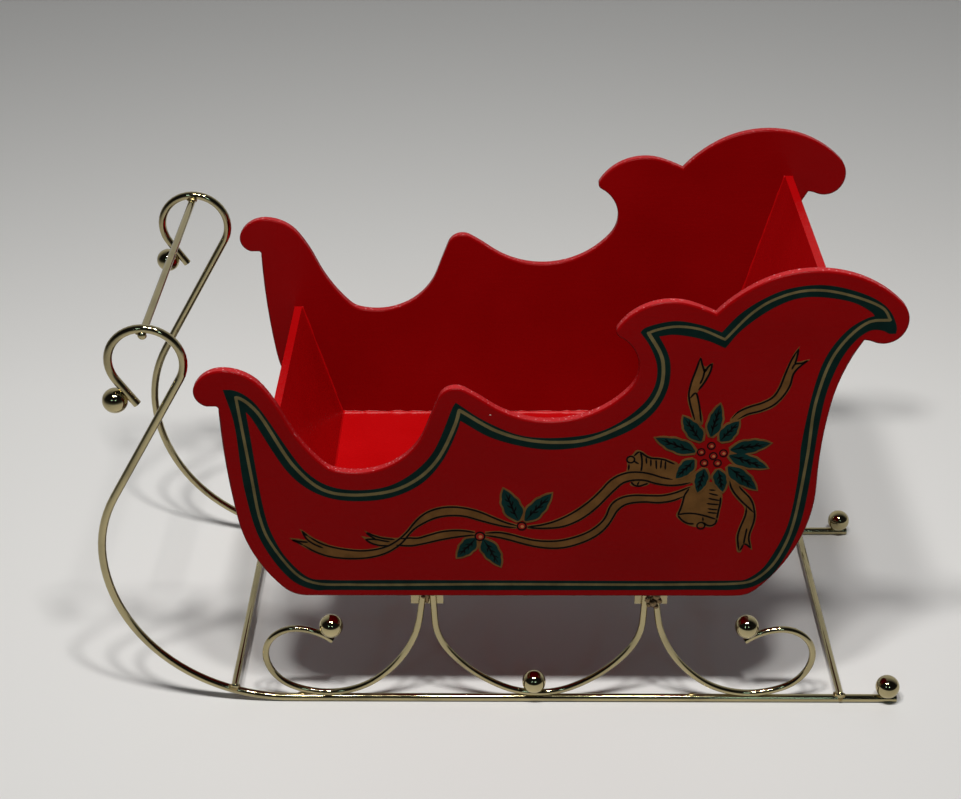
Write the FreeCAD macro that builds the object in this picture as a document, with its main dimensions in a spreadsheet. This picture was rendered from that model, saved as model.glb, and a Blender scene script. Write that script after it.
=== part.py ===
import FreeCAD, Part
import math
import os

import Sketcher

# Decorative table sleigh: a painted wooden tub on a bent wire runner stand.
# X runs along the sleigh with its front towards -X, Y across it, Z up from the table.
# The origin lies on the table, under the middle of the whole sleigh.

# Driving dimensions: lengths in millimetres, leans and turns in degrees, shares as plain numbers
SIZES = {
    # Side panels, cut to one outline
    "panel_length": 400.0,
    "panel_height": 218.4,
    "panel_thickness": 6.0,
    "panel_edge_round": 1.2,
    "panel_front_reach": 178.4,
    "panel_bottom_height": 91.4,
    "body_width": 212.0,
    # Floor and end boards, fitted between the panels
    "floor_thickness": 6.0,
    "floor_rise": 1.7,
    "load_floor_length": 250.0,
    "front_board_inset": 63.2,
    "end_board_thickness": 4.8,
    "front_board_height": 84.3,
    "front_board_lean": 16.0,
    "back_board_height": 179.3,
    "back_board_lean": 14.75,
    # Runners: a straight foot, a bow, a straight neck and a curl
    "runner_wire": 5.0,
    "runner_inset": 12.5,
    "runner_length": 493.7,
    "runner_front_reach": 246.2,
    "bow_radius": 108.0,
    "bow_turn": 90.0,
    "shoulder_radius": 89.0,
    "shoulder_turn": 30.0,
    "neck_length": 93.9,
    "curl_radius": 21.6,
    "curl_turn": 243.5,
    "curl_tail": 18.9,
    # Scrolls that carry the tub, bent from thinner wire
    "scroll_wire": 4.2,
    "stand_lead": 34.75,
    "wire_top_height": 84.0,
    "scroll_spread_share": 0.18512,
    "scroll_lean": 7.5,
    "scroll_fall_radius": 76.7,
    "scroll_fall_turn": 44.6,
    "scroll_sole_radius": 50.7,
    "scroll_sole_turn": 63.9,
    "scroll_rise_radius": 28.2,
    "scroll_rise_turn": 59.7,
    "scroll_head_radius": 20.6,
    "scroll_head_turn": 100.7,
    "scroll_hook_radius": 35.2,
    "scroll_hook_turn": 35.8,
    # Centre scrolls: a wide U between the two straps
    "centre_lean": 2.5,
    "centre_knee_radius": 45.0,
    "centre_knee_turn": 33.5,
    "centre_flank_radius": 91.0,
    "centre_flank_turn": 27.7,
    "centre_knee_inset": 6.95,
    # Straps under the floor, with a tab bent down at each end
    "strap_width": 20.0,
    "strap_thickness": 1.5,
    "strap_bend": 1.5,
    "strap_inset": 2.4,
    "tab_drop": 17.6,
    # Cross bars
    "bar_wire": 4.5,
    "bar_overhang": 1.5,
    "front_bar_turn": 19.5,
    "rear_bar_setback": 36.0,
    # Balls on the wire ends
    "ball": 15.0,
    "curl_ball_setback": 9.0,
    "runner_ball_setback": 6.4,
    "scroll_ball_turn": 10.0,
    "centre_ball_lead": 2.5,
    # Welds: how far one piece is let into the other
    "weld_bite": 0.6,
    "bar_bite": 1.2,
    "ball_bite": 0.8,
}

# Panel outline, anticlockwise from the front end of the level bottom edge. Each row holds the
# corner's place as shares of the panel's length and height, and the turn in degrees of the arc
# that arrives there: positive bulges outwards, negative hollows inwards, zero is straight.
OUTLINE_SHARES = [
    (0.1431, 0.0000, 47.3),   # front end of the bottom edge
    (0.7918, 0.0000, 0.0),    # rear end of the bottom edge
    (0.8223, 0.0224, 45.4),   # heel
    (0.8969, 0.3688, 46.3),   # swelling back
    (0.9056, 0.6187, -10.6),  # hollow of the back
    (0.9417, 0.8039, -21.6),  # corner under the rear scroll
    (0.9552, 0.7978, -18.9),
    (0.9948, 0.8208, 81.5),   # lip of the rear scroll
    (0.9900, 0.9057, 75.1),
    (0.7886, 0.9605, 76.2),   # crown
    (0.7347, 0.8796, 19.5),   # notch
    (0.7035, 0.9042, 6.8),
    (0.5992, 0.8381, 79.1),   # brow in front of the notch
    (0.6027, 0.8139, 92.0),   # nose
    (0.6180, 0.6575, -101.0),  # hollow under the nose
    (0.4197, 0.6173, -86.8),  # long dip behind the middle peak
    (0.3862, 0.6579, 7.1),
    (0.3644, 0.6614, 50.1),   # middle peak
    (0.3486, 0.6333, 48.0),
    (0.3290, 0.5390, 2.0),
    (0.1970, 0.4113, -84.6),  # deep dip of the entrance
    (0.1800, 0.4290, -30.6),
    (0.1267, 0.5751, -22.3),
    (0.1002, 0.6629, 12.5),
    (0.0450, 0.7170, 53.4),   # brow of the front scroll
    (0.0029, 0.6724, 62.9),
    (0.0175, 0.6094, 103.2),  # lip of the front scroll
    (0.0298, 0.6094, 0.0),    # underside of the lip
    (0.0342, 0.6012, -90.0),
    (0.0340, 0.5962, 0.0),
    (0.0477, 0.2558, 8.0),    # front edge
    (0.1066, 0.0295, 34.4),   # toe
]

# Derived sizes, as expressions over the sheet
INSIDE_WIDTH = "( body_width - 2 * panel_thickness )"
FLOOR_UNDERSIDE = "panel_bottom_height + floor_rise"
RUNNER_SPACING = "( body_width - 2 * runner_inset )"
FOOT_LENGTH = "( runner_length - bow_radius )"
STAND_CENTRE = "( bow_radius + %s / 2 - runner_front_reach - stand_lead )" % FOOT_LENGTH
SCROLL_SPREAD = "( scroll_spread_share * %s )" % FOOT_LENGTH
STRAP_SPREAD = "( %s - strap_inset )" % SCROLL_SPREAD
STRAP_SPAN = "( %s - scroll_wire + 2 * weld_bite )" % RUNNER_SPACING
BAR_SEAT = "( ( runner_wire + bar_wire ) / 2 - bar_bite )"
BALL_SEAT = "( ( scroll_wire + ball ) / 2 - ball_bite )"
SCROLL_LIFT = "( runner_wire + scroll_wire / 2 - weld_bite )"

# The centre scroll's slope from the level at the upper ends of its knee, flank and half sole, and
# the sole's radius that brings the knees out to their place beside the end scrolls
KNEE_SLOPE = "( 90 - centre_lean )"
FLANK_SLOPE = "( 90 - centre_lean - centre_knee_turn )"
SOLE_SLOPE = "( 90 - centre_lean - centre_knee_turn - centre_flank_turn )"
KNEE_REACH = "centre_knee_radius * ( sin( %s ) - sin( %s ) )" % (KNEE_SLOPE, FLANK_SLOPE)
FLANK_REACH = "centre_flank_radius * ( sin( %s ) - sin( %s ) )" % (FLANK_SLOPE, SOLE_SLOPE)
SOLE_REACH = "( %s - centre_knee_inset - %s - %s )" % (SCROLL_SPREAD, KNEE_REACH, FLANK_REACH)
CENTRE_SOLE_RADIUS = "( %s / sin( %s ) )" % (SOLE_REACH, SOLE_SLOPE)

PARTS_FOLDER = "parts"
LEFT_AND_RIGHT = (("left", -1), ("right", 1))
FRONT_AND_REAR = (("front", -1), ("rear", 1))

doc = FreeCAD.newDocument("table_sleigh")
sheet = doc.addObject("Spreadsheet::Sheet", "Sizes")
for row, (alias, value) in enumerate(SIZES.items(), start=1):
    sheet.set("A%d" % row, alias)
    sheet.set("B%d" % row, str(value))
    sheet.setAlias("B%d" % row, alias)
doc.recompute()

nodes = []


def vector(x, y):
    """A point in a sketch."""
    return FreeCAD.Vector(x, y, 0)


def polar(distance, degrees):
    """The vector of this length at this angle from the sketch's own X axis."""
    angle = math.radians(degrees)
    return vector(distance * math.cos(angle), distance * math.sin(angle))


def cell(text):
    """An expression over the sheet: each size's name becomes its cell."""
    words = text.split(" ")
    return " ".join("Sizes." + word if word in SIZES else word for word in words)


def value(text):
    """What an expression over the sheet comes to."""
    return float(sheet.evalExpression(cell(text)))


def new_body(label):
    body = doc.addObject("PartDesign::Body", label)
    body.Label = label
    return body


def new_sketch(body, name, role):
    """A sketch on one of the body's own origin planes."""
    sketch = body.newObject("Sketcher::SketchObject", name)
    plane = [item for item in body.Origin.OriginFeatures if item.Role == role]
    sketch.AttachmentSupport = [(plane[0], "")]
    sketch.MapMode = "FlatFace"
    return sketch


def place(item, x, y, z):
    """Bind an object's place to expressions over the sheet."""
    item.setExpression("Placement.Base.x", cell(x))
    item.setExpression("Placement.Base.y", cell(y))
    item.setExpression("Placement.Base.z", cell(z))


def drawn_value(sketch, kind, numbers):
    """The size that a constraint would have on the sketch as drawn."""
    curve = sketch.Geometry[numbers[-2] if len(numbers) == 4 else numbers[0]]
    if kind == "DistanceX":
        return sketch.getPoint(*numbers[2:]).x
    if kind == "DistanceY":
        return sketch.getPoint(*numbers[2:]).y
    if kind == "Distance":
        return curve.length()
    if kind == "Diameter":
        return 2 * curve.Radius
    if kind == "Radius":
        return curve.Radius
    if isinstance(curve, Part.LineSegment):
        run = curve.EndPoint - curve.StartPoint
        return math.atan2(run.y, run.x)
    return curve.LastParameter - curve.FirstParameter


def bind(sketch, kind, *arguments):
    """Add a constraint whose last argument is its size, an expression over the sheet."""
    numbers = arguments[:-1]
    start = drawn_value(sketch, kind, numbers)
    index = sketch.addConstraint(Sketcher.Constraint(kind, *numbers, start))
    sketch.setExpression("Constraints[%d]" % index, cell(arguments[-1]))
    return index


def read_off(sketch, geometry, position, name):
    """Reference dimensions that other objects read a sketch point's place from."""
    for kind, axis in (("DistanceX", "_x"), ("DistanceY", "_z")):
        numbers = (-1, 1, geometry, position)
        start = drawn_value(sketch, kind, numbers)
        index = sketch.addConstraint(Sketcher.Constraint(kind, *numbers, start))
        sketch.setDriving(index, False)
        sketch.renameConstraint(index, name + axis)


def seat(sketch_name, name):
    """The two coordinates that read_off gave a name, as plain numbers for an expression."""
    return ["( %s.Constraints.%s%s / 1 mm )" % (sketch_name, name, axis) for axis in ("_x", "_z")]


class WirePath:
    """A run of straights and tangent arcs in a sketch, as a wire is bent.

    Each stretch is drawn at its size and tied to the stretch before it. Turns are degrees,
    positive to the left of the way the path runs.
    """

    def __init__(self, sketch, start, heading):
        self.sketch = sketch
        self.point = start
        self.heading = heading
        self.last = None

    def tie(self, geometry, start_position, end_position):
        if self.last is not None:
            self.sketch.addConstraint(
                Sketcher.Constraint("Tangent", *self.last, geometry, start_position)
            )
        self.last = (geometry, end_position)
        return geometry

    def straight(self, length, size=None):
        """A straight stretch: its length is bound to a size, or left to the rest."""
        end = self.point + polar(length, self.heading)
        line = self.sketch.addGeometry(Part.LineSegment(self.point, end))
        self.point = end
        self.tie(line, 1, 2)
        if size:
            bind(self.sketch, "Distance", line, size)
        return line

    def arc(self, radius_size, turn_size, side=1):
        """An arc of a named radius and turn, bending to the left, or right with side -1."""
        arc = self.free_arc(radius_size, SIZES[turn_size], side)
        bind(self.sketch, "Angle", arc, turn_size)
        return arc

    def free_arc(self, radius_size, turn, side=1):
        """An arc of a bound radius whose turn is left to the rest of the path."""
        radius = value(radius_size)
        centre = self.point + polar(radius, self.heading + 90 * side)
        begin = self.heading - 90 * side
        end = begin + turn * side
        low = math.radians(min(begin, end))
        high = math.radians(max(begin, end))
        circle = Part.Circle(centre, FreeCAD.Vector(0, 0, 1), radius)
        arc = self.sketch.addGeometry(Part.ArcOfCircle(circle, low, high))
        self.point = centre + polar(radius, end)
        self.heading += turn * side
        self.tie(arc, *((1, 2) if side > 0 else (2, 1)))
        bind(self.sketch, "Radius", arc, radius_size)
        return arc


def turned_about(item, axis, degrees):
    item.Placement.Rotation = FreeCAD.Rotation(axis, degrees)


def draw_outline(sketch):
    """The side panel's outline: every corner in its place, arcs of a set turn between them."""
    length = SIZES["panel_length"]
    height = SIZES["panel_height"]
    corners = [vector(length * x, height * z) for x, z, _ in OUTLINE_SHARES]
    turns = [turn for _, _, turn in OUTLINE_SHARES]
    ends = []
    for begin, end, turn in zip(corners[-1:] + corners, corners, turns):
        if turn:
            half_turn = math.radians(abs(turn)) / 2
            chord = end - begin
            side = math.copysign(1, turn)
            radius = chord.Length / 2 / math.sin(half_turn)
            across = vector(-chord.y, chord.x).normalize() * side
            centre = (begin + end) / 2 + across * radius * math.cos(half_turn)
            facing = math.atan2(-across.y, -across.x)
            circle = Part.Circle(centre, FreeCAD.Vector(0, 0, 1), radius)
            curve = Part.ArcOfCircle(circle, facing - half_turn, facing + half_turn)
        else:
            side = 1
            curve = Part.LineSegment(begin, end)
        geometry = sketch.addGeometry(curve)
        ends.append((geometry, 1, 2) if side > 0 else (geometry, 2, 1))
    for row, curve, after in zip(OUTLINE_SHARES, ends, ends[1:] + ends[:1]):
        x_share, z_share, turn = row
        geometry, _, end = curve
        sketch.addConstraint(Sketcher.Constraint("Coincident", geometry, end, *after[:2]))
        bind(sketch, "DistanceX", -1, 1, geometry, end, "panel_length * %s" % x_share)
        if z_share:
            bind(sketch, "DistanceY", -1, 1, geometry, end, "panel_height * %s" % z_share)
        else:
            sketch.addConstraint(Sketcher.Constraint("PointOnObject", geometry, end, -1))
        if turn:
            sweep = math.radians(abs(turn))
            sketch.addConstraint(Sketcher.Constraint("Angle", geometry, sweep))


def side_panel(name, side):
    """A cut-out panel with both its rims rounded over."""
    body = new_body("side_panel_" + name)
    sketch = new_sketch(body, body.Name + "_outline", "XZ_Plane")
    draw_outline(sketch)
    pad = body.newObject("PartDesign::Pad", body.Name + "_pad")
    pad.Profile = sketch
    pad.setExpression("Length", cell("panel_thickness"))
    doc.recompute()
    rims = [
        "Edge%d" % number
        for number, edge in enumerate(pad.Shape.Edges, start=1)
        if edge.BoundBox.YLength < pad.Length.Value / 2
    ]
    rounding = body.newObject("PartDesign::Fillet", body.Name + "_rims")
    rounding.Base = (pad, rims)
    rounding.setExpression("Radius", cell("panel_edge_round"))
    inner_face = "panel_thickness - body_width / 2" if side < 0 else "body_width / 2"
    place(body, "- panel_front_reach", inner_face, "panel_bottom_height")
    nodes.append(body)


def floor_board():
    """The floor, with ends bevelled to the lean of the boards that stand at them."""
    body = new_body("floor_board")
    sketch = new_sketch(body, "floor_section", "XZ_Plane")
    length = SIZES["load_floor_length"]
    thickness = SIZES["floor_thickness"]
    front = thickness * math.tan(math.radians(SIZES["front_board_lean"]))
    back = thickness * math.tan(math.radians(SIZES["back_board_lean"]))
    corners = [
        vector(front, 0),
        vector(length - back, 0),
        vector(length, thickness),
        vector(0, thickness),
    ]
    under, rear_end, top, front_end = draw_loop(sketch, corners)
    sketch.addConstraint(Sketcher.Constraint("PointOnObject", under, 1, -1))
    sketch.addConstraint(Sketcher.Constraint("PointOnObject", under, 2, -1))
    sketch.addConstraint(Sketcher.Constraint("PointOnObject", top, 2, -2))
    sketch.addConstraint(Sketcher.Constraint("Horizontal", top))
    bind(sketch, "DistanceX", -1, 1, top, 1, "load_floor_length")
    bind(sketch, "DistanceY", -1, 1, top, 1, "floor_thickness")
    bind(sketch, "Angle", rear_end, "90 - back_board_lean")
    bind(sketch, "Angle", front_end, "front_board_lean - 90")
    pad = body.newObject("PartDesign::Pad", "floor_pad")
    pad.Profile = sketch
    pad.setExpression("Length", cell(INSIDE_WIDTH))
    place(
        body,
        "front_board_inset - panel_front_reach",
        "( %s ) / 2" % INSIDE_WIDTH,
        FLOOR_UNDERSIDE,
    )
    nodes.append(body)


def end_board(name, facing, foot):
    """A board that leans out of the tub, its foot and its top edge cut level."""
    body = new_body(name + "_board")
    sketch = new_sketch(body, body.Name + "_section", "XZ_Plane")
    lean = math.radians(SIZES[name + "_board_lean"])
    height = SIZES["floor_thickness"] + SIZES[name + "_board_height"]
    level_thickness = SIZES["end_board_thickness"] / math.cos(lean)
    shift = height * math.tan(lean)
    corners = [
        vector(0, 0),
        vector(level_thickness, 0),
        vector(shift + level_thickness, height),
        vector(shift, height),
    ]
    bottom, outside, top, inside = draw_loop(sketch, corners)
    sketch.addConstraint(Sketcher.Constraint("Coincident", bottom, 1, -1, 1))
    sketch.addConstraint(Sketcher.Constraint("Horizontal", bottom))
    sketch.addConstraint(Sketcher.Constraint("Horizontal", top))
    sketch.addConstraint(Sketcher.Constraint("Parallel", outside, inside))
    bind(sketch, "Angle", outside, "90 - %s_board_lean" % name)
    bind(sketch, "DistanceX", -1, 1, bottom, 2, "end_board_thickness / cos( %s_board_lean )" % name)
    bind(sketch, "DistanceY", -1, 1, top, 1, "floor_thickness + %s_board_height" % name)
    pad = body.newObject("PartDesign::Pad", body.Name + "_pad")
    pad.Profile = sketch
    pad.setExpression("Length", cell(INSIDE_WIDTH))
    if facing < 0:
        turned_about(body, FreeCAD.Vector(0, 0, 1), 180)
    sign = "-" if facing > 0 else "+"
    run_out = "%s floor_thickness * tan( %s_board_lean )" % (sign, name)
    place(
        body,
        "%s - panel_front_reach %s" % (foot, run_out),
        "%d * ( %s ) / 2" % (facing, INSIDE_WIDTH),
        FLOOR_UNDERSIDE,
    )
    nodes.append(body)


def draw_loop(sketch, corners):
    """A closed loop of straight lines through the corners."""
    lines = [
        sketch.addGeometry(Part.LineSegment(corner, after))
        for corner, after in zip(corners, corners[1:] + corners[:1])
    ]
    for line, after in zip(lines, lines[1:] + lines[:1]):
        sketch.addConstraint(Sketcher.Constraint("Coincident", line, 2, after, 1))
    return lines


def pipe_along(body, path, wire_size):
    """A round wire swept along the path, from a section square to the path's start."""
    section = body.newObject("Sketcher::SketchObject", body.Name + "_section")
    section.AttachmentSupport = [(path, "Edge1")]
    section.MapMode = "NormalToEdge"
    centre = FreeCAD.Vector(0, 0, 0)
    circle = section.addGeometry(Part.Circle(centre, FreeCAD.Vector(0, 0, 1), SIZES[wire_size] / 2))
    section.addConstraint(Sketcher.Constraint("Coincident", circle, 3, -1, 1))
    bind(section, "Diameter", circle, wire_size)
    doc.recompute()
    pipe = body.newObject("PartDesign::AdditivePipe", body.Name + "_pipe")
    pipe.Profile = section
    pipe.Spine = (path, ["Edge%d" % (number + 1) for number in range(len(path.Shape.Edges))])


def runner(name, side):
    """Foot, bow, neck and curl in one bent wire; its sketch starts at the foremost point."""
    body = new_body("runner_" + name)
    sketch = new_sketch(body, body.Name + "_path", "XZ_Plane")
    foot_height = SIZES["runner_wire"] / 2
    path = WirePath(sketch, vector(SIZES["runner_length"], foot_height), 180)
    foot = path.straight(SIZES["runner_length"] - SIZES["bow_radius"])
    bow = path.arc("bow_radius", "bow_turn", side=-1)
    path.arc("shoulder_radius", "shoulder_turn", side=-1)
    path.straight(SIZES["neck_length"], "neck_length")
    curl = path.arc("curl_radius", "curl_turn")
    tail = path.straight(SIZES["curl_tail"], "curl_tail")
    sketch.addConstraint(Sketcher.Constraint("Horizontal", foot))
    bind(sketch, "DistanceX", -1, 1, foot, 1, "runner_length")
    bind(sketch, "DistanceY", -1, 1, foot, 1, "runner_wire / 2")
    bind(sketch, "DistanceX", -1, 1, bow, 3, "bow_radius")

    # Seats of the front bar in the bow, of the top bar in the curl and of the ball on the tail
    offset = value(BAR_SEAT)
    bow_centre = sketch.getPoint(bow, 3)
    down = polar(SIZES["bow_radius"] - offset, 270 - SIZES["front_bar_turn"])
    to_front_bar = add_seat(sketch, bow_centre, bow_centre + down)
    sketch.addConstraint(Sketcher.Constraint("Coincident", to_front_bar, 1, bow, 3))
    bind(sketch, "Distance", to_front_bar, "bow_radius - %s" % BAR_SEAT)
    bind(sketch, "Angle", to_front_bar, "- 90 - front_bar_turn")
    read_off(sketch, to_front_bar, 2, "front_bar")

    curl_centre = sketch.getPoint(curl, 3)
    to_top_bar = add_seat(sketch, curl_centre, curl_centre + polar(SIZES["curl_radius"] - offset, 90))
    sketch.addConstraint(Sketcher.Constraint("Coincident", to_top_bar, 1, curl, 3))
    sketch.addConstraint(Sketcher.Constraint("Vertical", to_top_bar))
    bind(sketch, "Distance", to_top_bar, "curl_radius - %s" % BAR_SEAT)
    read_off(sketch, to_top_bar, 2, "top_bar")

    setback = SIZES["curl_ball_setback"]
    ball_offset = value("( runner_wire + ball ) / 2 - ball_bite")
    foot_of_ball = path.point - polar(setback, path.heading)
    along = add_seat(sketch, path.point, foot_of_ball)
    out = add_seat(sketch, foot_of_ball, foot_of_ball + polar(ball_offset, path.heading - 90))
    sketch.addConstraint(Sketcher.Constraint("Coincident", along, 1, tail, 2))
    sketch.addConstraint(Sketcher.Constraint("PointOnObject", along, 2, tail))
    sketch.addConstraint(Sketcher.Constraint("Coincident", out, 1, along, 2))
    sketch.addConstraint(Sketcher.Constraint("Perpendicular", out, tail))
    bind(sketch, "Distance", along, "curl_ball_setback")
    bind(sketch, "Distance", out, "( runner_wire + ball ) / 2 - ball_bite")
    read_off(sketch, out, 2, "curl_ball")

    doc.recompute()
    pipe_along(body, sketch, "runner_wire")
    place(body, "- runner_front_reach", "%d * %s / 2" % (side, RUNNER_SPACING), "0")
    nodes.append(body)
    return body, sketch


def add_seat(sketch, begin, end):
    """A construction line that leads to the place of another piece."""
    line = sketch.addGeometry(Part.LineSegment(begin, end), True)
    return line


def bend_edges(feature, left, right, level):
    """The edges along X that lie on two vertical sides of a strap at one level."""
    tolerance = SIZES["strap_thickness"] / 4
    names = []
    for number, edge in enumerate(feature.Shape.Edges, start=1):
        box = edge.BoundBox
        on_side = min(abs(box.YMin - left), abs(box.YMin - right)) < tolerance
        straight_along = box.YLength < tolerance and box.ZLength < tolerance
        if straight_along and on_side and abs(box.ZMin - level) < tolerance:
            names.append("Edge%d" % number)
    return names


def strap(name, end):
    """A flat strip across the floor's underside with its ends bent down as tabs."""
    body = new_body(name + "_strap")
    sketch = new_sketch(body, body.Name + "_section", "YZ_Plane")
    thickness = SIZES["strap_thickness"]
    width = value(STRAP_SPAN)
    height = SIZES["tab_drop"]
    corners = [
        vector(0, 0),
        vector(thickness, 0),
        vector(thickness, height - thickness),
        vector(width - thickness, height - thickness),
        vector(width - thickness, 0),
        vector(width, 0),
        vector(width, height),
        vector(0, height),
    ]
    lines = draw_loop(sketch, corners)
    left_foot, left_inside, soffit, right_inside, right_foot, right_outside, top, left_outside = lines
    for line in (left_foot, soffit, right_foot, top):
        sketch.addConstraint(Sketcher.Constraint("Horizontal", line))
    for line in (left_inside, right_inside, right_outside, left_outside):
        sketch.addConstraint(Sketcher.Constraint("Vertical", line))
    sketch.addConstraint(Sketcher.Constraint("Coincident", left_foot, 1, -1, 1))
    sketch.addConstraint(Sketcher.Constraint("PointOnObject", right_foot, 1, -1))
    sketch.addConstraint(Sketcher.Constraint("Equal", left_foot, right_foot))
    bind(sketch, "Distance", left_foot, "strap_thickness")
    bind(sketch, "DistanceY", -1, 1, soffit, 1, "tab_drop - strap_thickness")
    bind(sketch, "DistanceY", -1, 1, top, 1, "tab_drop")
    bind(sketch, "DistanceX", -1, 1, right_foot, 2, STRAP_SPAN)
    pad = body.newObject("PartDesign::Pad", body.Name + "_pad")
    pad.Profile = sketch
    pad.setExpression("Length", cell("strap_width"))
    doc.recompute()
    inner = body.newObject("PartDesign::Fillet", body.Name + "_inner_bends")
    inner.Base = (pad, bend_edges(pad, thickness, width - thickness, height - thickness))
    inner.setExpression("Radius", cell("strap_bend"))
    doc.recompute()
    outer = body.newObject("PartDesign::Fillet", body.Name + "_outer_bends")
    outer.Base = (inner, bend_edges(inner, 0, width, height))
    outer.setExpression("Radius", cell("strap_bend + strap_thickness"))
    place(
        body,
        "%s + ( %d ) * %s - strap_width / 2" % (STAND_CENTRE, end, STRAP_SPREAD),
        "- ( %s ) / 2" % STRAP_SPAN,
        "%s - tab_drop" % FLOOR_UNDERSIDE,
    )
    nodes.append(body)
    return body


def end_scroll(name, end, side_name, side, seats):
    """A scroll from a strap's tab down to the runner and round to its ball.

    The sketch starts under the stand's centre; the front scroll is the rear one turned round.
    """
    label = "%s_scroll_%s" % (name, side_name)
    body = new_body(label + "_wire")
    sketch = new_sketch(body, label + "_path", "XZ_Plane")
    top = vector(value(SCROLL_SPREAD), SIZES["wire_top_height"])
    heading = SIZES["scroll_lean"] - 90
    level_share = math.cos(math.radians(heading + SIZES["scroll_fall_turn"]))
    lean_share = math.cos(math.radians(heading))
    fall = SIZES["scroll_fall_radius"] * (level_share - lean_share)
    drop = value(SCROLL_LIFT) + SIZES["scroll_sole_radius"] * (1 - level_share) + fall
    path = WirePath(sketch, top, heading)
    stub = path.straight((top.y - drop) / math.cos(math.radians(SIZES["scroll_lean"])))
    path.arc("scroll_fall_radius", "scroll_fall_turn")
    sole = path.arc("scroll_sole_radius", "scroll_sole_turn")
    path.arc("scroll_rise_radius", "scroll_rise_turn")
    path.arc("scroll_head_radius", "scroll_head_turn")
    hook = path.arc("scroll_hook_radius", "scroll_hook_turn")
    bind(sketch, "DistanceX", -1, 1, stub, 1, SCROLL_SPREAD)
    bind(sketch, "DistanceY", -1, 1, stub, 1, "wire_top_height")
    bind(sketch, "Angle", stub, "scroll_lean - 90")
    bind(sketch, "DistanceY", -1, 1, sole, 3, "%s + scroll_sole_radius" % SCROLL_LIFT)

    # Seat of the ball, on the outside of the hook and a little back from its end
    reach = SIZES["scroll_hook_radius"] + value(BALL_SEAT)
    hook_centre = sketch.getPoint(hook, 3)
    direction = path.heading - 90 - SIZES["scroll_ball_turn"]
    to_ball = add_seat(sketch, hook_centre, hook_centre + polar(reach, direction))
    sketch.addConstraint(Sketcher.Constraint("Coincident", to_ball, 1, hook, 3))
    bind(sketch, "Distance", to_ball, "scroll_hook_radius + %s" % BALL_SEAT)
    bind(
        sketch,
        "Angle",
        to_ball,
        "scroll_lean + scroll_fall_turn + scroll_sole_turn + scroll_rise_turn"
        " + scroll_head_turn + scroll_hook_turn - scroll_ball_turn - 180",
    )
    read_off(sketch, to_ball, 2, "ball")

    doc.recompute()
    pipe_along(body, sketch, "scroll_wire")
    if end < 0:
        turned_about(body, FreeCAD.Vector(0, 0, 1), 180)
    place(body, STAND_CENTRE, "%d * %s / 2" % (side, RUNNER_SPACING), "0")
    wire = cut(label, body, seats)
    ball_x, ball_z = seat(sketch.Name, "ball")
    ball(
        "%s_scroll_ball_%s" % (name, side_name),
        wire,
        "%s + ( %d ) * %s" % (STAND_CENTRE, end, ball_x),
        "%d * %s / 2" % (side, RUNNER_SPACING),
        ball_z,
        seam_turn=180 if end > 0 else 0,
    )


def centre_scroll(side_name, side, seats):
    """A wide U from strap to strap that touches the runner under the stand's centre."""
    label = "centre_scroll_" + side_name
    body = new_body(label + "_wire")
    sketch = new_sketch(body, label + "_path", "XZ_Plane")
    heading = SIZES["centre_lean"] - 90
    slopes = [math.radians(value(slope)) for slope in (KNEE_SLOPE, FLANK_SLOPE, SOLE_SLOPE)]
    levels = [math.cos(slope) for slope in slopes] + [1]
    radii = [value(size) for size in ("centre_knee_radius", "centre_flank_radius", CENTRE_SOLE_RADIUS)]
    knee_rise = sum(radius * (low - high) for radius, high, low in zip(radii, levels, levels[1:]))
    knee_reach = value("%s - centre_knee_inset" % SCROLL_SPREAD)
    lean = math.radians(SIZES["centre_lean"])
    stub_drop = SIZES["wire_top_height"] - value(SCROLL_LIFT) - knee_rise
    start = vector(-knee_reach - stub_drop * math.tan(lean), SIZES["wire_top_height"])
    stub_length = stub_drop / math.cos(lean)
    path = WirePath(sketch, start, heading)
    front_stub = path.straight(stub_length)
    path.arc("centre_knee_radius", "centre_knee_turn")
    path.arc("centre_flank_radius", "centre_flank_turn")
    sole = path.free_arc(CENTRE_SOLE_RADIUS, 2 * value(SOLE_SLOPE))
    path.arc("centre_flank_radius", "centre_flank_turn")
    path.arc("centre_knee_radius", "centre_knee_turn")
    rear_stub = path.straight(stub_length)
    sketch.addConstraint(Sketcher.Constraint("PointOnObject", sole, 3, -2))
    bind(sketch, "DistanceY", -1, 1, sole, 3, "%s + %s" % (SCROLL_LIFT, CENTRE_SOLE_RADIUS))
    bind(sketch, "DistanceY", -1, 1, front_stub, 1, "wire_top_height")
    bind(sketch, "DistanceY", -1, 1, rear_stub, 2, "wire_top_height")
    bind(sketch, "Angle", front_stub, "centre_lean - 90")
    bind(sketch, "Angle", rear_stub, "90 - centre_lean")
    doc.recompute()
    pipe_along(body, sketch, "scroll_wire")
    place(body, STAND_CENTRE, "%d * %s / 2" % (side, RUNNER_SPACING), "0")
    wire = cut(label, body, seats)
    ball(
        "centre_ball_" + side_name,
        wire,
        "%s - centre_ball_lead" % STAND_CENTRE,
        "%d * %s / 2" % (side, RUNNER_SPACING),
        "%s + %s" % (SCROLL_LIFT, BALL_SEAT),
    )


def gather(name, pieces):
    """Several pieces as one tool, for cutting what is welded on them."""
    group = doc.addObject("Part::Compound", name)
    group.Links = pieces
    return group


def cut(label, blank, tool):
    """A node made from a blank, let into the pieces that it is welded to."""
    node = doc.addObject("Part::Cut", label)
    node.Label = label
    node.Base = blank
    node.Tool = tool
    nodes.append(node)
    return node


def ball(label, wire, x, y, z, seam_turn=0):
    """A ball seated in a saddle on its wire, turned so that its seam faces away from the wire."""
    blank = doc.addObject("Part::Sphere", label + "_blank")
    blank.setExpression("Radius", cell("ball / 2"))
    turned_about(blank, FreeCAD.Vector(0, 0, 1), seam_turn)
    place(blank, x, y, z)
    return cut(label, blank, wire)


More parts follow.
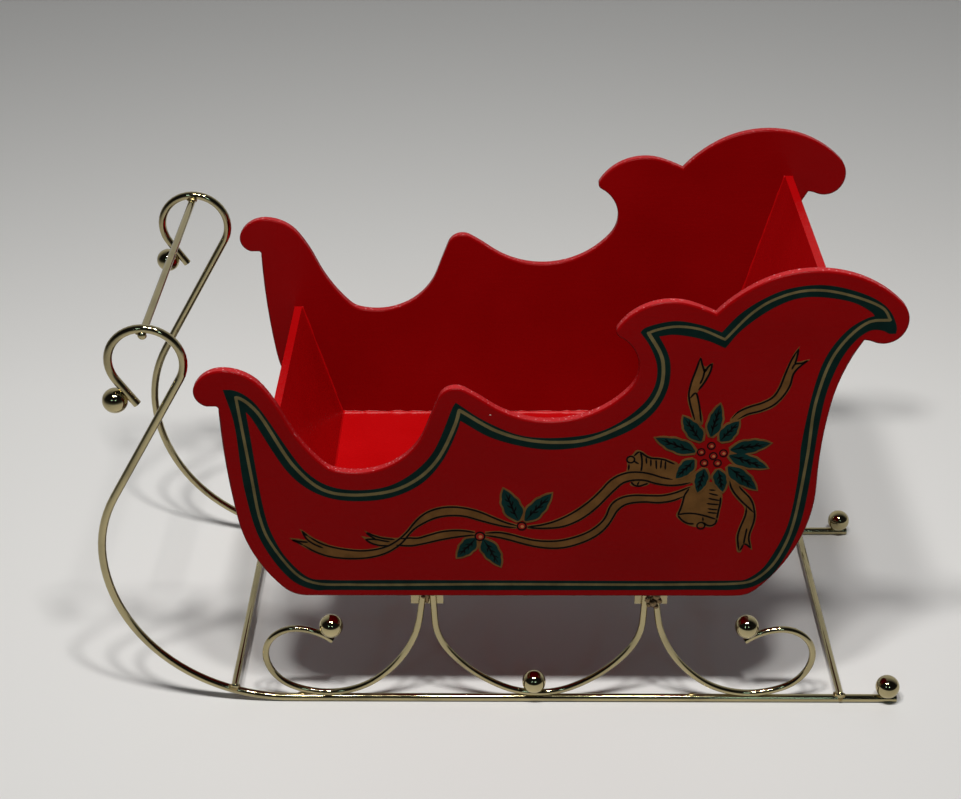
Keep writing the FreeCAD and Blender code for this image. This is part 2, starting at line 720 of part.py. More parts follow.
def cross_bar(label, x, z, runners):
    """A round bar across both runners, saddled on their wires."""
    blank = doc.addObject("Part::Cylinder", label + "_blank")
    blank.setExpression("Radius", cell("bar_wire / 2"))
    blank.setExpression("Height", cell("%s + 2 * bar_overhang" % RUNNER_SPACING))
    turned_about(blank, FreeCAD.Vector(1, 0, 0), -90)
    place(blank, x, "- %s / 2 - bar_overhang" % RUNNER_SPACING, z)
    return cut(label, blank, runners)


for side_name, side in LEFT_AND_RIGHT:
    side_panel(side_name, side)
floor_board()
end_board("front", -1, "front_board_inset")
end_board("back", 1, "front_board_inset + load_floor_length")

runners = []
runner_paths = []
for side_name, side in LEFT_AND_RIGHT:
    wire, path_sketch = runner(side_name, side)
    runners.append(wire)
    runner_paths.append(path_sketch.Name)
straps = [strap(name, end) for name, end in FRONT_AND_REAR]
runner_pair = gather("runner_pair", runners)
scroll_seats = gather("scroll_seats", runners + straps)

for side_name, side in LEFT_AND_RIGHT:
    for name, end in FRONT_AND_REAR:
        end_scroll(name, end, side_name, side, scroll_seats)
    centre_scroll(side_name, side, scroll_seats)

for (side_name, side), wire, path_name in zip(LEFT_AND_RIGHT, runners, runner_paths):
    ball_x, ball_z = seat(path_name, "curl_ball")
    ball(
        "curl_ball_" + side_name,
        wire,
        "%s - runner_front_reach" % ball_x,
        "%d * %s / 2" % (side, RUNNER_SPACING),
        ball_z,
        seam_turn=180,
    )
    ball(
        "runner_end_ball_" + side_name,
        wire,
        "runner_length - runner_front_reach - runner_ball_setback",
        "%d * %s / 2" % (side, RUNNER_SPACING),
        "runner_wire + ball / 2 - ball_bite",
    )

for name in ("front", "top"):
    bar_x, bar_z = seat(runner_paths[0], name + "_bar")
    cross_bar(name + "_cross_bar", "%s - runner_front_reach" % bar_x, bar_z, runner_pair)
cross_bar(
    "rear_cross_bar",
    "runner_length - runner_front_reach - rear_bar_setback",
    "runner_wire / 2 + %s" % BAR_SEAT,
    runner_pair,
)

doc.recompute()
for item in doc.Objects:
    if "Invalid" in item.State or "Error" in item.State:
        raise RuntimeError("%s did not compute" % item.Label)
for node in nodes:
    if node.Shape.isNull() or not node.Shape.isValid() or not node.Shape.Solids:
        raise RuntimeError("%s has no valid solid" % node.Label)

os.makedirs(PARTS_FOLDER, exist_ok=True)
for node in nodes:
    node.Shape.exportStep(os.path.join(PARTS_FOLDER, node.Label + ".step"))
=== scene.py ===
import math
import random

import bmesh
import bpy
from mathutils import Matrix, Vector


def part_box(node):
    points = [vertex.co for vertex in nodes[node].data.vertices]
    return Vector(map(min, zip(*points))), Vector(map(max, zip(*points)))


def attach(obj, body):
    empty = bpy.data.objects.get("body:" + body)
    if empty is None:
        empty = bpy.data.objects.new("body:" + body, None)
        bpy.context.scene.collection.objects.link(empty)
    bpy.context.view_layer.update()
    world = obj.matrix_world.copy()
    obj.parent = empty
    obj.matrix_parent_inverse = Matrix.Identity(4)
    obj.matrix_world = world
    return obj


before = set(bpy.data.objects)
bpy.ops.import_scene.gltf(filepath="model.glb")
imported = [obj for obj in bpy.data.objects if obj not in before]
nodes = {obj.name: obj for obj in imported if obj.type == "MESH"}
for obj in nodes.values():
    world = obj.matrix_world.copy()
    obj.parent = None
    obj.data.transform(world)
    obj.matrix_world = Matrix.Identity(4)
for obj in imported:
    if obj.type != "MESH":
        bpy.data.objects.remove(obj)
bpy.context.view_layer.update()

# Places and sizes are in mm, in the frame's axes, and become metres where a mesh is made
MM = 0.001
SIDES = (("left", -1), ("right", 1))


def corners(name):
    """The lowest and the highest corner of a CAD node."""
    low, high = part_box(name)
    return low / MM, high / MM


def middle(name):
    low, high = corners(name)
    return (low + high) / 2


INNER_Y = corners("side_panel_right")[0].y      # the panels' inner faces, at -INNER_Y and +INNER_Y
FACE_Y = corners("side_panel_right")[1].y       # their outer faces
WIRE_Y = middle("runner_right").y               # middle planes of the two runners


# Nodes of the materials

def add_node(tree, kind, *sources, operation=None):
    """A new node whose first inputs are linked from the given sources."""
    made = tree.nodes.new("ShaderNode" + kind)
    if operation:
        made.operation = operation
    for source, socket in zip(sources, made.inputs):
        tree.links.new(source, socket)
    return made


def combine(tree, operation, *values):
    return add_node(tree, "Math", *values, operation=operation).outputs["Value"]


def added(tree, first, second):
    return add_node(tree, "VectorMath", first, second, operation="ADD").outputs["Vector"]


def scaled(tree, colour, factor):
    made = add_node(tree, "VectorMath", colour, operation="SCALE")
    tree.links.new(factor, made.inputs["Scale"])
    return made.outputs["Vector"]


def split(tree, output):
    """The three parts of one of the texture coordinates."""
    return add_node(tree, "SeparateXYZ", add_node(tree, "TexCoord").outputs[output]).outputs


def coordinates(tree, stretch=(1, 1, 1)):
    mapping = add_node(tree, "Mapping", add_node(tree, "TexCoord").outputs["Object"])
    mapping.inputs["Scale"].default_value = stretch
    return mapping.outputs["Vector"]


def noise(tree, vector, scale, detail, rough=0.5):
    made = add_node(tree, "TexNoise", vector)
    made.inputs["Scale"].default_value = scale
    made.inputs["Detail"].default_value = detail
    made.inputs["Roughness"].default_value = rough
    return made.outputs["Fac"]


def ramp(tree, fac, stops):
    """A colour that follows fac from stop to stop, each given as a place and a colour."""
    made = add_node(tree, "ValToRGB", fac)
    items = made.color_ramp.elements
    while len(items) < len(stops):
        items.new(0.5)
    for item, (at, colour) in zip(items, stops):
        item.position = at
        item.color = (*colour, 1)
    return made.outputs["Color"]


def spread(tree, fac, given, wanted):
    """fac, mapped from the given range to the wanted one and kept inside it."""
    made = add_node(tree, "MapRange", fac)
    for key, value in zip(("From Min", "From Max", "To Min", "To Max"), (*given, *wanted)):
        made.inputs[key].default_value = value
    return made.outputs["Result"]


def bump(tree, shader, height, strength, depth, under=None):
    """A bump of that depth in metres, laid over another one if under is given."""
    made = add_node(tree, "Bump")
    made.inputs["Strength"].default_value = strength
    made.inputs["Distance"].default_value = depth
    tree.links.new(height, made.inputs["Height"])
    if under:
        tree.links.new(under, made.inputs["Normal"])
    tree.links.new(made.outputs["Normal"], shader.inputs["Normal"])
    return made.outputs["Normal"]


# Materials

def new_material(name, colour, rough, metallic=0.0):
    mat = bpy.data.materials.new(name)
    mat.use_nodes = True
    shader = mat.node_tree.nodes["Principled BSDF"]
    shader.inputs["Base Color"].default_value = (*colour, 1)
    shader.inputs["Roughness"].default_value = rough
    shader.inputs["Metallic"].default_value = metallic
    return mat, mat.node_tree, shader


RED = (0.38, 0.002, 0.003)
RED_COAT = ((0.30, (0.35, 0.0015, 0.0022)), (0.52, (0.385, 0.0020, 0.0030)), (0.72, (0.41, 0.0028, 0.0040)))
RED_ROUGH = (0.20, 0.32)
# Rim mask: 1 where the panels' rims look up and turn away from Y. The red is painted lighter there as
# painted light, and darker on the faces as painted shade.
RIM_SIDEWAYS = (0.42, 0.18)         # how far a rim's surface may turn towards Y
RIM_UPWARDS = (0.30, 0.97)          # and how far it has to look up
RIM_LEAST = 0.22                    # share of the painted light, painted sheen and lumps that a rim keeps where it looks to the ends
# Colours laid on the rims: a pale pink painted sheen and pale painted highlight specks, and nothing
# elsewhere.
RIM_PAINTED_SHEEN = (0.0, 0.014, 0.016)
RIM_PAINTED_HIGHLIGHT = (0.32, 0.22, 0.23)
NO_PAINTED_SHEEN = (0, 0, 0)
ALONG_GRAIN, ACROSS_GRAIN = 1.0, 9.0


def red_paint(name, along, face_painted_light, rim_painted_light, gloss, wear_and_sheen=False):
    """Red enamel over wood: faint brush marks along the grain, an uneven coat, tiny specks.

    The panels' rims, which look up and to the ends, are painted lighter and have a rougher, lumpier coat
    than their faces, which look along Y: painted light on the rims, painted shade on the faces. When asked
    for, the rims also get a pale pink painted sheen and small pale painted highlight specks.
    """
    mat, tree, shader = new_material(name, RED, rough=0.34)
    shader.inputs["Specular IOR Level"].default_value = gloss
    stretched = coordinates(tree, tuple(ALONG_GRAIN if axis == along else ACROSS_GRAIN for axis in "XYZ"))
    plain = coordinates(tree)
    normal = split(tree, "Normal")
    edge = spread(tree, combine(tree, "ABSOLUTE", normal["Y"]), RIM_SIDEWAYS, (0, 1))
    rim = combine(tree, "MULTIPLY", edge, spread(tree, normal["Z"], RIM_UPWARDS, (RIM_LEAST, 1)))
    colour = ramp(tree, noise(tree, plain, scale=14, detail=4), RED_COAT)
    # Painted shade on the faces and painted light on the rims, following the rim mask.
    colour = scaled(tree, colour, spread(tree, rim, (0, 1), (face_painted_light, rim_painted_light)))
    # Painted sheen and painted highlight specks on the rims.
    if wear_and_sheen:
        highlight_specks = spread(tree, noise(tree, plain, scale=620, detail=2), (0.62, 0.70), (0, 1))
        highlight_specks = combine(tree, "MULTIPLY", highlight_specks, rim)
        colour = added(tree, colour, ramp(tree, rim, ((0, NO_PAINTED_SHEEN), (1, RIM_PAINTED_SHEEN))))
        colour = added(tree, colour, ramp(tree, highlight_specks, ((0, NO_PAINTED_SHEEN), (1, RIM_PAINTED_HIGHLIGHT))))
    tree.links.new(colour, shader.inputs["Base Color"])
    rough = spread(tree, noise(tree, plain, scale=55, detail=3), (0.3, 0.7), RED_ROUGH)
    tree.links.new(rough, shader.inputs["Roughness"])
    marks = noise(tree, stretched, scale=60, detail=5, rough=0.6)
    specks = noise(tree, plain, scale=420, detail=2)
    lumps = combine(tree, "MULTIPLY", noise(tree, plain, scale=750, detail=3, rough=0.6), rim)
    brushed = bump(tree, shader, marks, strength=0.16, depth=0.0006)
    specked = bump(tree, shader, specks, strength=0.10, depth=0.0003, under=brushed)
    bump(tree, shader, lumps, strength=0.6, depth=0.0004, under=specked)
    return mat


def brass(name, colour, rough, streak):
    """Pale brass plating: a slightly cloudy tone and fine drawing lines."""
    mat, tree, shader = new_material(name, colour, rough, metallic=1.0)
    plain = coordinates(tree)
    dark = tuple(c * 0.80 for c in colour)
    pale = tuple(min(1.0, c * 1.08) for c in colour)
    cloud = ramp(tree, noise(tree, plain, scale=38, detail=4), ((0.32, dark), (0.50, colour), (0.70, pale)))
    tree.links.new(cloud, shader.inputs["Base Color"])
    wear_and_sheen = spread(tree, noise(tree, plain, scale=160, detail=3), (0.3, 0.7), (rough * 0.7, rough * 1.5))
    tree.links.new(wear_and_sheen, shader.inputs["Roughness"])
    bump(tree, shader, noise(tree, plain, scale=300, detail=3), strength=streak, depth=0.0002)
    return mat


def print_ink(name, colour, rough):
    """Matt hand-brushed enamel on the panels' faces."""
    mat, tree, shader = new_material(name, colour, rough)
    plain = coordinates(tree)
    dark = tuple(c * 0.78 for c in colour)
    pale = tuple(min(1.0, c * 1.22) for c in colour)
    patch = ramp(tree, noise(tree, plain, scale=120, detail=3), ((0.3, dark), (0.5, colour), (0.7, pale)))
    tree.links.new(patch, shader.inputs["Base Color"])
    bump(tree, shader, noise(tree, plain, scale=500, detail=2), strength=0.15, depth=0.0002)
    shader.inputs["Specular IOR Level"].default_value = 0.03
    return mat


# The panels use a copy of the red with painted shade on their faces and painted light on their rims.
PAINT_PANEL = red_paint("red_paint_panel", along="X", face_painted_light=0.575, rim_painted_light=1.08, gloss=0.045, wear_and_sheen=True)
# The floor board's red is painted lighter, as painted light from above. The beads in the floor seams are
# lighter still, with painted sheen and highlight specks, as a painted highlight.
PAINT_X = red_paint("red_paint_along", along="X", face_painted_light=1.28, rim_painted_light=1.28, gloss=0.05)
PAINT_Y = red_paint("red_paint_across", along="Y", face_painted_light=1.02, rim_painted_light=1.02, gloss=0.05)
PAINT_BEAD = red_paint("red_paint_bead", along="X", face_painted_light=1.40, rim_painted_light=1.40, gloss=0.18, wear_and_sheen=True)
WIRE = brass("brass_wire", (0.385, 0.328, 0.182), rough=0.07, streak=0.08)
BALL = brass("brass_ball", (0.43, 0.365, 0.20), rough=0.05, streak=0.03)
STRAP = brass("brass_strap", (0.36, 0.305, 0.175), rough=0.26, streak=0.20)
WELD = brass("brass_weld", (0.30, 0.225, 0.10), rough=0.30, streak=0.60)
BURNT = brass("weld_burnt", (0.17, 0.115, 0.060), rough=0.30, streak=0.90)
GREEN = print_ink("ink_green", (0.0026, 0.0125, 0.0102), rough=0.42)
LEAF = print_ink("ink_leaf", (0.0032, 0.021, 0.0185), rough=0.42)
LINE = print_ink("ink_gold_line", (0.121, 0.093, 0.040), rough=0.48)
GOLD = print_ink("ink_gold", (0.126, 0.057, 0.0165), rough=0.48)
BLACK = print_ink("ink_black", (0.0025, 0.002, 0.002), rough=0.45)
BERRY = print_ink("ink_berry", (0.22, 0.012, 0.008), rough=0.35)
SHINE = print_ink("ink_berry_light", (0.38, 0.13, 0.05), rough=0.40)
BARE = print_ink("bare_wood", (0.60, 0.50, 0.42), rough=0.60)


def dress(node, mat):
    node.data.materials.clear()
    node.data.materials.append(mat)
    for polygon in node.data.polygons:
        polygon.material_index = 0


for name, node in nodes.items():
    if name.startswith("side_panel"):
        dress(node, PAINT_PANEL)
    elif name == "floor_board":
        dress(node, PAINT_X)
    elif name.endswith("_board"):
        dress(node, PAINT_Y)
    elif "ball" in name:
        dress(node, BALL)
    elif name.endswith("_strap"):
        dress(node, STRAP)
    else:
        dress(node, WIRE)


def finish_piece(name, bm, mat, soft=True):
    """Makes a piece that rides on the body, shaded smooth if it is soft."""
    bmesh.ops.recalc_face_normals(bm, faces=bm.faces)
    for face in bm.faces:
        face.smooth = soft
    mesh = bpy.data.meshes.new(name)
    bm.to_mesh(mesh)
    bm.free()
    mesh.materials.append(mat)
    piece = bpy.data.objects.new(name, mesh)
    bpy.context.scene.collection.objects.link(piece)
    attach(piece, "root")


# Painted lines and areas, drawn flat in a panel's plane as x and z

LINE_STEP = 1.2         # points along a smooth line
OUTLINE_STEP = 1.0      # points along the outline of an area
STROKE_STEP = 0.9       # points along a brush line
STROKE_TIP = 0.25       # share of its width that a brush line keeps at its ends
ROUND = 28              # corners of a circle
SUNK = 0.04             # how far painted shapes reach into the panel


def smooth(points, step=LINE_STEP):
    """A smooth line through given points, which may lie near or far from each other."""
    pts = [Vector(p) for p in points]
    ends = [2 * pts[0] - pts[1]] + pts + [2 * pts[-1] - pts[-2]]
    line = []
    for a, b, c, d in zip(ends, ends[1:], ends[2:], ends[3:]):
        ab, bc, cd = (math.sqrt((q - p).length) for p, q in ((a, b), (b, c), (c, d)))
        leave = ((b - a) / ab - (c - a) / (ab + bc) + (c - b) / bc) * bc
        arrive = ((c - b) / bc - (d - b) / (bc + cd) + (d - c) / cd) * bc
        count = max(1, round((c - b).length / step))
        for k in range(count):
            t = k / count
            bend = t * t * (3 - 2 * t)
            line.append(b.lerp(c, bend) + leave * (t * (1 - t) ** 2) + arrive * (t * t * (t - 1)))
    return line + [pts[-1]]


def closed(points):
    """A smooth outline through given points."""
    return smooth(points + points[:1], OUTLINE_STEP)[:-1]


def length_of(line):
    return sum((b - a).length for a, b in zip(line, line[1:]))


def normals(line):
    """The direction to the left of the line at each of its points."""
    out = []
    for k in range(len(line)):
        run = line[min(k + 1, len(line) - 1)] - line[max(k - 1, 0)]
        out.append(Vector((-run.y, run.x)).normalized())
    return out


def shift(line, distance):
    """The line moved to its left by one distance, or by one for each of its points."""
    far = distance if isinstance(distance, list) else [distance] * len(line)
    return [p + n * d for p, n, d in zip(line, normals(line), far)]


def resample(line, count):
    """count points at even distances along the line."""
    lengths = [0.0]
    for a, b in zip(line, line[1:]):
        lengths.append(lengths[-1] + (b - a).length)
    out = []
    at = 0
    for k in range(count):
        goal = lengths[-1] * k / (count - 1)
        while at < len(line) - 2 and lengths[at + 1] < goal:
            at += 1
        span = lengths[at + 1] - lengths[at]
        t = (goal - lengths[at]) / span if span > 1e-9 else 0.0
        out.append(line[at].lerp(line[at + 1], min(max(t, 0.0), 1.0)))
    return out


def circle(centre, radius, sides=ROUND, squeeze=1.0, turn=0.0):
    """Points round a circle, or round an oval that is squeezed and turned by degrees."""
    twist = Matrix.Rotation(math.radians(turn), 2)
    out = []
    for k in range(sides):
        a = 2 * math.pi * k / sides
        out.append(Vector(centre) + twist @ Vector((radius * math.cos(a), radius * squeeze * math.sin(a))))
    return out


class Print:
    """Paint of one colour on one face, gathered in one mesh: each shape is a thin closed slab.

    A shape is a list of polygons and its level, the height of its top over the panel's face.
    """

    def __init__(self):
        self.shapes = []

    def face(self, points, level):
        self.shapes.append(([[Vector(p) for p in points]], level))

    def quads(self, left, right, level):
        self.shapes.append(([list(four) for four in zip(left, left[1:], right[1:], right)], level))

    def between(self, left, right, level):
        """The area between two lines that run the same way."""
        count = max(3, int(length_of(left) / LINE_STEP))
        self.quads(resample(left, count), resample(right, count), level)

    def stroke(self, line, width, level, taper=0.0):
        """A brush line; taper is the share of its length over which it thins to its ends."""
        line = resample(line, max(3, int(length_of(line) / STROKE_STEP)))
        half = []
        for k in range(len(line)):
            t = k / (len(line) - 1)
            ease = min(1.0, min(t, 1 - t) / taper + STROKE_TIP) if taper else 1.0
            half.append(width / 2 * ease)
        self.quads(shift(line, half), shift(line, [-h for h in half]), level)

    def ring(self, centre, radius, width, level):
        outer, inner = (circle(centre, radius + half) for half in (width / 2, -width / 2))
        self.quads(outer + outer[:1], inner + inner[:1], level)

    def build(self, name, side, mat):
        bm = bmesh.new()
        for polygons, level in self.shapes:
            made = {}
            faces = []
            for polygon in polygons:
                verts = []
                for p in polygon:
                    key = (round(p.x, 4), round(p.y, 4))
                    if key not in made:
                        made[key] = bm.verts.new((p.x * MM, side * (FACE_Y + level) * MM, p.y * MM))
                    if not verts or verts[-1] is not made[key]:
                        verts.append(made[key])
                if verts[0] is verts[-1]:
                    verts.pop()
                if len(verts) > 2:
                    faces.append(bm.faces.new(verts))
            grown = bmesh.ops.extrude_face_region(bm, geom=faces)
            for v in grown["geom"]:
                if isinstance(v, bmesh.types.BMVert):
                    v.co.y = side * (FACE_Y - SUNK) * MM
        bmesh.ops.triangulate(bm, faces=[f for f in bm.faces if len(f.verts) > 4])
        finish_piece(name, bm, mat, soft=False)


# Places of the painted lines as x and z, after the photograph

# Border: five runs in order round the panel, from the front tip along the bottom and up the back to
# the rear tip, along the crown to the notch, over the nose, along the long dip to the peak, and
# through the entrance dip back to the front tip. Each has the green band's edge towards the panel's
# rim, its edge towards the middle, the gold line between them and the gold line's width.
BORDER = [
    ([(-161, 236), (-156.5, 215), (-153.5, 167), (-146, 130.5), (-129, 102.5), (-116, 96),
      (-108, 96), (107, 96.5), (144, 97.5), (154, 102.5), (161.5, 111.5), (172.5, 142),
      (181, 237.5), (191, 264), (201, 273.5), (208.5, 273), (211, 271.5), (215, 271.5)],
     [(-149, 221.5), (-142.5, 148.5), (-138.5, 133.5), (-132, 119.5), (-119, 105), (-108, 103.5),
      (-68, 103.5), (138, 103.5), (143, 104), (152, 111), (158, 121.5), (165.5, 143),
      (169, 180.5), (169, 200.5), (177, 254.5), (188.5, 274), (198, 281), (202, 282.5)],
     [(-154, 231), (-149, 177.5), (-146, 148), (-141.5, 132), (-125.5, 106.5), (-115, 101),
      (-93, 100), (-8, 100.5), (107, 100.5), (144, 102), (149.5, 104.5), (158, 113.5),
      (164, 126), (168.5, 142.5), (173, 190.5), (175, 229.5), (183.5, 260.5), (199, 278.5),
      (211, 280)], 1.7),
    ([(215, 271.5), (215, 275.5), (211, 284.5), (204.5, 291), (191, 297.5), (172, 301.5),
      (153, 299), (138, 291.5), (127.5, 283), (119, 272.5)],
     [(202, 282.5), (201, 284), (189, 291), (163, 294), (148, 288.5), (130, 274),
      (121.5, 262.5)],
     [(211, 280), (206.5, 287), (180.5, 297), (162.5, 298), (146, 292.5), (135, 284.5),
      (121, 268)], 1.5),
    ([(119, 272.5), (107.5, 277), (92.5, 279.5), (76, 275), (74, 272.5)],
     [(121.5, 262.5), (110.5, 267.5), (93, 271), (84.5, 270)],
     [(121, 268), (106.5, 274.5), (92.5, 276), (81.5, 273.5), (78.5, 272)], 1.5),
    ([(74, 272.5), (79.5, 264), (84, 251.5), (83.5, 239), (78, 227.5), (61.5, 212.5),
      (45.5, 206), (11, 205), (-12, 215), (-29, 227.5)],
     [(84.5, 270), (89.5, 260), (91.5, 252.5), (91, 237.5), (85, 223), (73.5, 211),
      (56.5, 202), (38, 197), (19, 196.5), (-8.5, 204), (-26.5, 215.5)],
     [(78.5, 272), (85.5, 259.5), (87.5, 252), (87, 238), (81.5, 225.5), (70.5, 215),
      (46.5, 203), (28.5, 201), (10.5, 203), (-6.5, 209), (-27, 222.5)], 2),
    ([(-29, 227.5), (-30.5, 225), (-44, 192), (-61.5, 175), (-77, 169), (-101, 170),
      (-116, 180), (-145, 229), (-154.5, 235.5), (-161, 236)],
     [(-26.5, 215.5), (-28, 210), (-37.5, 188), (-49.5, 173), (-66.5, 163.5), (-85.5, 160.5),
      (-103.5, 162.5), (-117, 169.5), (-128, 181.5), (-146.5, 218), (-149, 221.5)],
     [(-27, 222.5), (-29.5, 213), (-40, 189.5), (-52, 176), (-68, 167.5), (-94.5, 165),
      (-108.5, 169), (-123.5, 184.5), (-143, 222), (-151, 230), (-154, 231)], 2),
]

RIBBONS = [
    # (upper line, lower line), left to right; the first passes under the second at the crossing
    ([(-63, 133.6), (-58.3, 134.3), (-52.8, 134.2), (-46.1, 136.4), (-38.7, 138.8), (-31.3, 139.7),
      (-25.4, 139.5), (-18.9, 138.3)],
     [(-66, 129.2), (-57.2, 128.7), (-49.8, 130.2), (-38.7, 133.2), (-30, 135), (-23.3, 136),
      (-18.9, 136.4)]),
    ([(-12.8, 137.9), (-4.4, 138.3), (2.2, 136.9), (8.9, 134.7), (15.6, 132.9), (22.2, 132.1),
      (31.1, 132.4), (38.9, 134.4), (46.7, 137.8), (52.2, 141.7), (56.7, 146.7), (58.9, 151.1),
      (60.2, 155.6), (62.8, 160), (67.8, 163.3), (74.4, 164.7), (83.3, 164.5), (91.1, 164.6),
      (97.8, 166.3), (103.6, 168.9), (107, 170.6)],
     [(-12.8, 136.3), (-5.6, 135), (2.2, 132.8), (10, 130.2), (17.8, 128.1), (26.7, 127),
      (34.4, 127.6), (42.2, 130), (50, 133.9), (55.6, 138.3), (60, 143.9), (62.8, 149.4),
      (65, 153.9), (68.9, 157.8), (73.3, 159.4), (81.1, 160.1), (88.9, 159.6), (96.7, 160.9),
      (104, 164.2)]),
    ([(-118.3, 135.6), (-110.6, 130.2), (-103.1, 127.4), (-95, 125.7), (-86.9, 125), (-78.7, 125.9),
      (-71.3, 128.3), (-66.1, 131.7), (-62, 135.4), (-58.7, 139.3), (-55.4, 144.1), (-51.3, 149.1),
      (-46.1, 153.1), (-38.7, 155.8), (-31.1, 156.4), (-23.3, 155.3), (-15.6, 152.8), (-7.8, 148.9),
      (0, 145.2), (6.7, 143)],
     [(-121.7, 129.4), (-115, 124.6), (-107.6, 121.3), (-100.2, 119.8), (-89.1, 119.4), (-80.2, 120.6),
      (-72, 123.5), (-65.4, 128), (-61.7, 131.7), (-58.7, 136), (-55, 140.6), (-49.8, 144.6),
      (-42.4, 148.6), (-35, 150.3), (-25.4, 150), (-15.6, 146.9), (-7.8, 144.4), (0, 142.4),
      (5.6, 141.8)]),
    ([(12.2, 142.4), (20, 143.6), (27.8, 146.1), (35.6, 150.2), (43.3, 155.8), (50, 162.2),
      (55.6, 168.9), (59.4, 174), (63.6, 177.6), (70, 180.4), (76.7, 180.8), (83.3, 179.6),
      (90, 177.2), (96.5, 175.7)],
     [(12.2, 141.8), (22.2, 141.4), (32.2, 142.4), (40, 145.6), (46.7, 150.2), (53.3, 156.7),
      (58.9, 163.6), (63.3, 168.9), (67.8, 173.4), (73.3, 175.2), (80, 175.2), (86.7, 173),
      (94.4, 171.7), (101.1, 172.1), (106.8, 173.6)]),
]

# Ribbon ends: fill outline, whether it is smoothed, and black strokes
TAILS = [
    ([(-84.8, 139.6), (-80, 137.3), (-74, 135.3), (-67, 134.3), (-61, 134.5), (-62, 128.6),
      (-69.8, 127.9), (-76, 128), (-81.6, 130.2), (-86.6, 135.6), (-83, 134.9), (-80.2, 134.6)], False,
     [[(-83.1, 138.5), (-78.7, 135.8), (-73.5, 134.1), (-66.6, 133.2)],
      [(-83.6, 138), (-80.4, 135.2), (-77.9, 133.3)],
      [(-84.2, 133.4), (-77.9, 133.3), (-74, 132.4), (-69.6, 131.6)],
      [(-84.2, 133.2), (-80.2, 130.3), (-75.5, 128.9), (-69.8, 128.7)]]),
    # two ends above the leaves
    ([(108, 257.2), (109.4, 253.2), (110.6, 251), (111.6, 250.6), (112.6, 251.6), (115.2, 253.2),
      (114.4, 247.5), (111.4, 240.2), (108.4, 235.6), (107, 232), (109.4, 226), (111.6, 213),
      (108, 212), (104.2, 222), (102.2, 229.6), (102.8, 238.5), (105.8, 248)], True,
     [[(108, 256.6), (106, 248.5), (103.8, 240.5), (102.8, 233), (103.8, 227), (107.2, 215.5)],
      [(115, 252.8), (114, 247.4), (111, 240.4), (108, 235.6)],
      [(108.2, 256.4), (109.4, 251.8), (111, 247)],
      [(114.8, 252.8), (112.6, 250.6), (111, 247)],
      [(111, 249.5), (110, 243), (108.6, 239.5)],
      [(103.4, 230), (106.6, 233.8), (108.8, 227), (110.8, 214.5)]]),
    ([(162.7, 263.6), (161.4, 254), (168.9, 255.2), (164, 250.8), (161.2, 246.4), (160, 238),
      (156.4, 230.6), (151.5, 224.6), (144, 220.8), (136.6, 218.6), (131.6, 215.4), (127, 215.4),
      (129, 219.4), (135, 224.6), (143.5, 227.8), (149.4, 231.4), (152.4, 236.6), (154.6, 244),
      (157.4, 253), (160.4, 260.2)], True,
     [[(162.2, 262.2), (158.8, 255), (156.2, 246.5), (153.6, 237), (150.4, 231), (145, 227.4),
       (137.6, 224.6), (131.6, 221.4), (128, 217)],
      [(162.2, 262), (161.6, 256), (160.8, 252.2)],
      [(168.2, 254.6), (164.4, 252.8), (161, 252.4), (159.4, 248.8)],
      [(168, 254.4), (163.4, 250.4), (160.6, 246), (159.4, 239), (156, 231.6), (151, 225.8),
       (144, 222), (136.8, 219.8), (131.4, 216.4)]]),
    # one end below the leaves on the right
    ([(128.6, 177.5), (129.3, 171), (131.4, 166.4), (134.6, 161.8), (138.2, 157.8), (139.4, 155.6),
      (139.5, 153), (139, 149.6), (137.8, 145.2), (136.4, 140.2), (135.6, 135.4), (136.1, 130.2),
      (137.4, 124.4), (139.2, 124.2), (140.2, 127.8), (141.2, 129.8), (143.4, 128.2), (145.9, 125.9),
      (145.4, 129.6), (144.4, 133.9), (144.7, 138.2), (145.7, 142), (146.6, 147), (146.7, 151.2),
      (146, 155.6), (144.8, 159.8), (142.6, 163.9), (139.4, 167.6), (136.4, 171.4), (136, 175)], True,
     [[(129.6, 174.7), (130.4, 171.1), (132.5, 166.9), (135.7, 162.6), (138.9, 159), (142.1, 155.8),
       (145, 152.6)],
      [(135, 172.9), (135.7, 170.4), (138.6, 166.9), (141.8, 163.3), (143.9, 159.4), (145, 155.4),
       (145.7, 151.1), (145.6, 146.9), (144.6, 141.9), (143.7, 138.3), (143.4, 134), (144.2, 130.4),
       (145.1, 127.2)],
      [(140.4, 156.5), (140.6, 153.3), (140.1, 149.7), (138.9, 145.4), (137.5, 140.4), (136.8, 135.4),
       (137.3, 130.4), (138.2, 125.4)],
      [(141.8, 141.5), (141.4, 137.6), (140.9, 133.3), (140.7, 130.4)],
      [(140.6, 130.4), (142.4, 129.8), (145, 127.3)],
      [(140.6, 130.3), (139.8, 127.8), (138.6, 125.3)]]),
    # the ribbon's spread end between the leaves
    ([(94, 175.6), (98, 176.5), (101.8, 179.4), (105, 182.5), (108.5, 184), (109.5, 178),
      (108.6, 174), (106.6, 173.2), (102.9, 172.2), (97.3, 171.6), (93, 172.4)], True, []),
]
# The front end, which lies over the ribbons
FRONT_TAIL = (
    [(-129.4, 134.2), (-123.5, 133.6), (-119.3, 132.6), (-121.3, 136.4), (-122.9, 140.8), (-120.4, 139),
     (-114.6, 134), (-107, 130), (-107, 120.6), (-116, 124.2), (-122.3, 128.4)], False,
    [[(-121.8, 139.4), (-119, 136.3), (-118.3, 135.6)],
     [(-121.6, 139.2), (-119.4, 134), (-115.5, 130.2), (-109.5, 127)],
     [(-128, 133), (-124, 130.8), (-121.7, 129.4)],
     [(-128, 132.9), (-123.5, 131.8), (-118.4, 131.2)]])

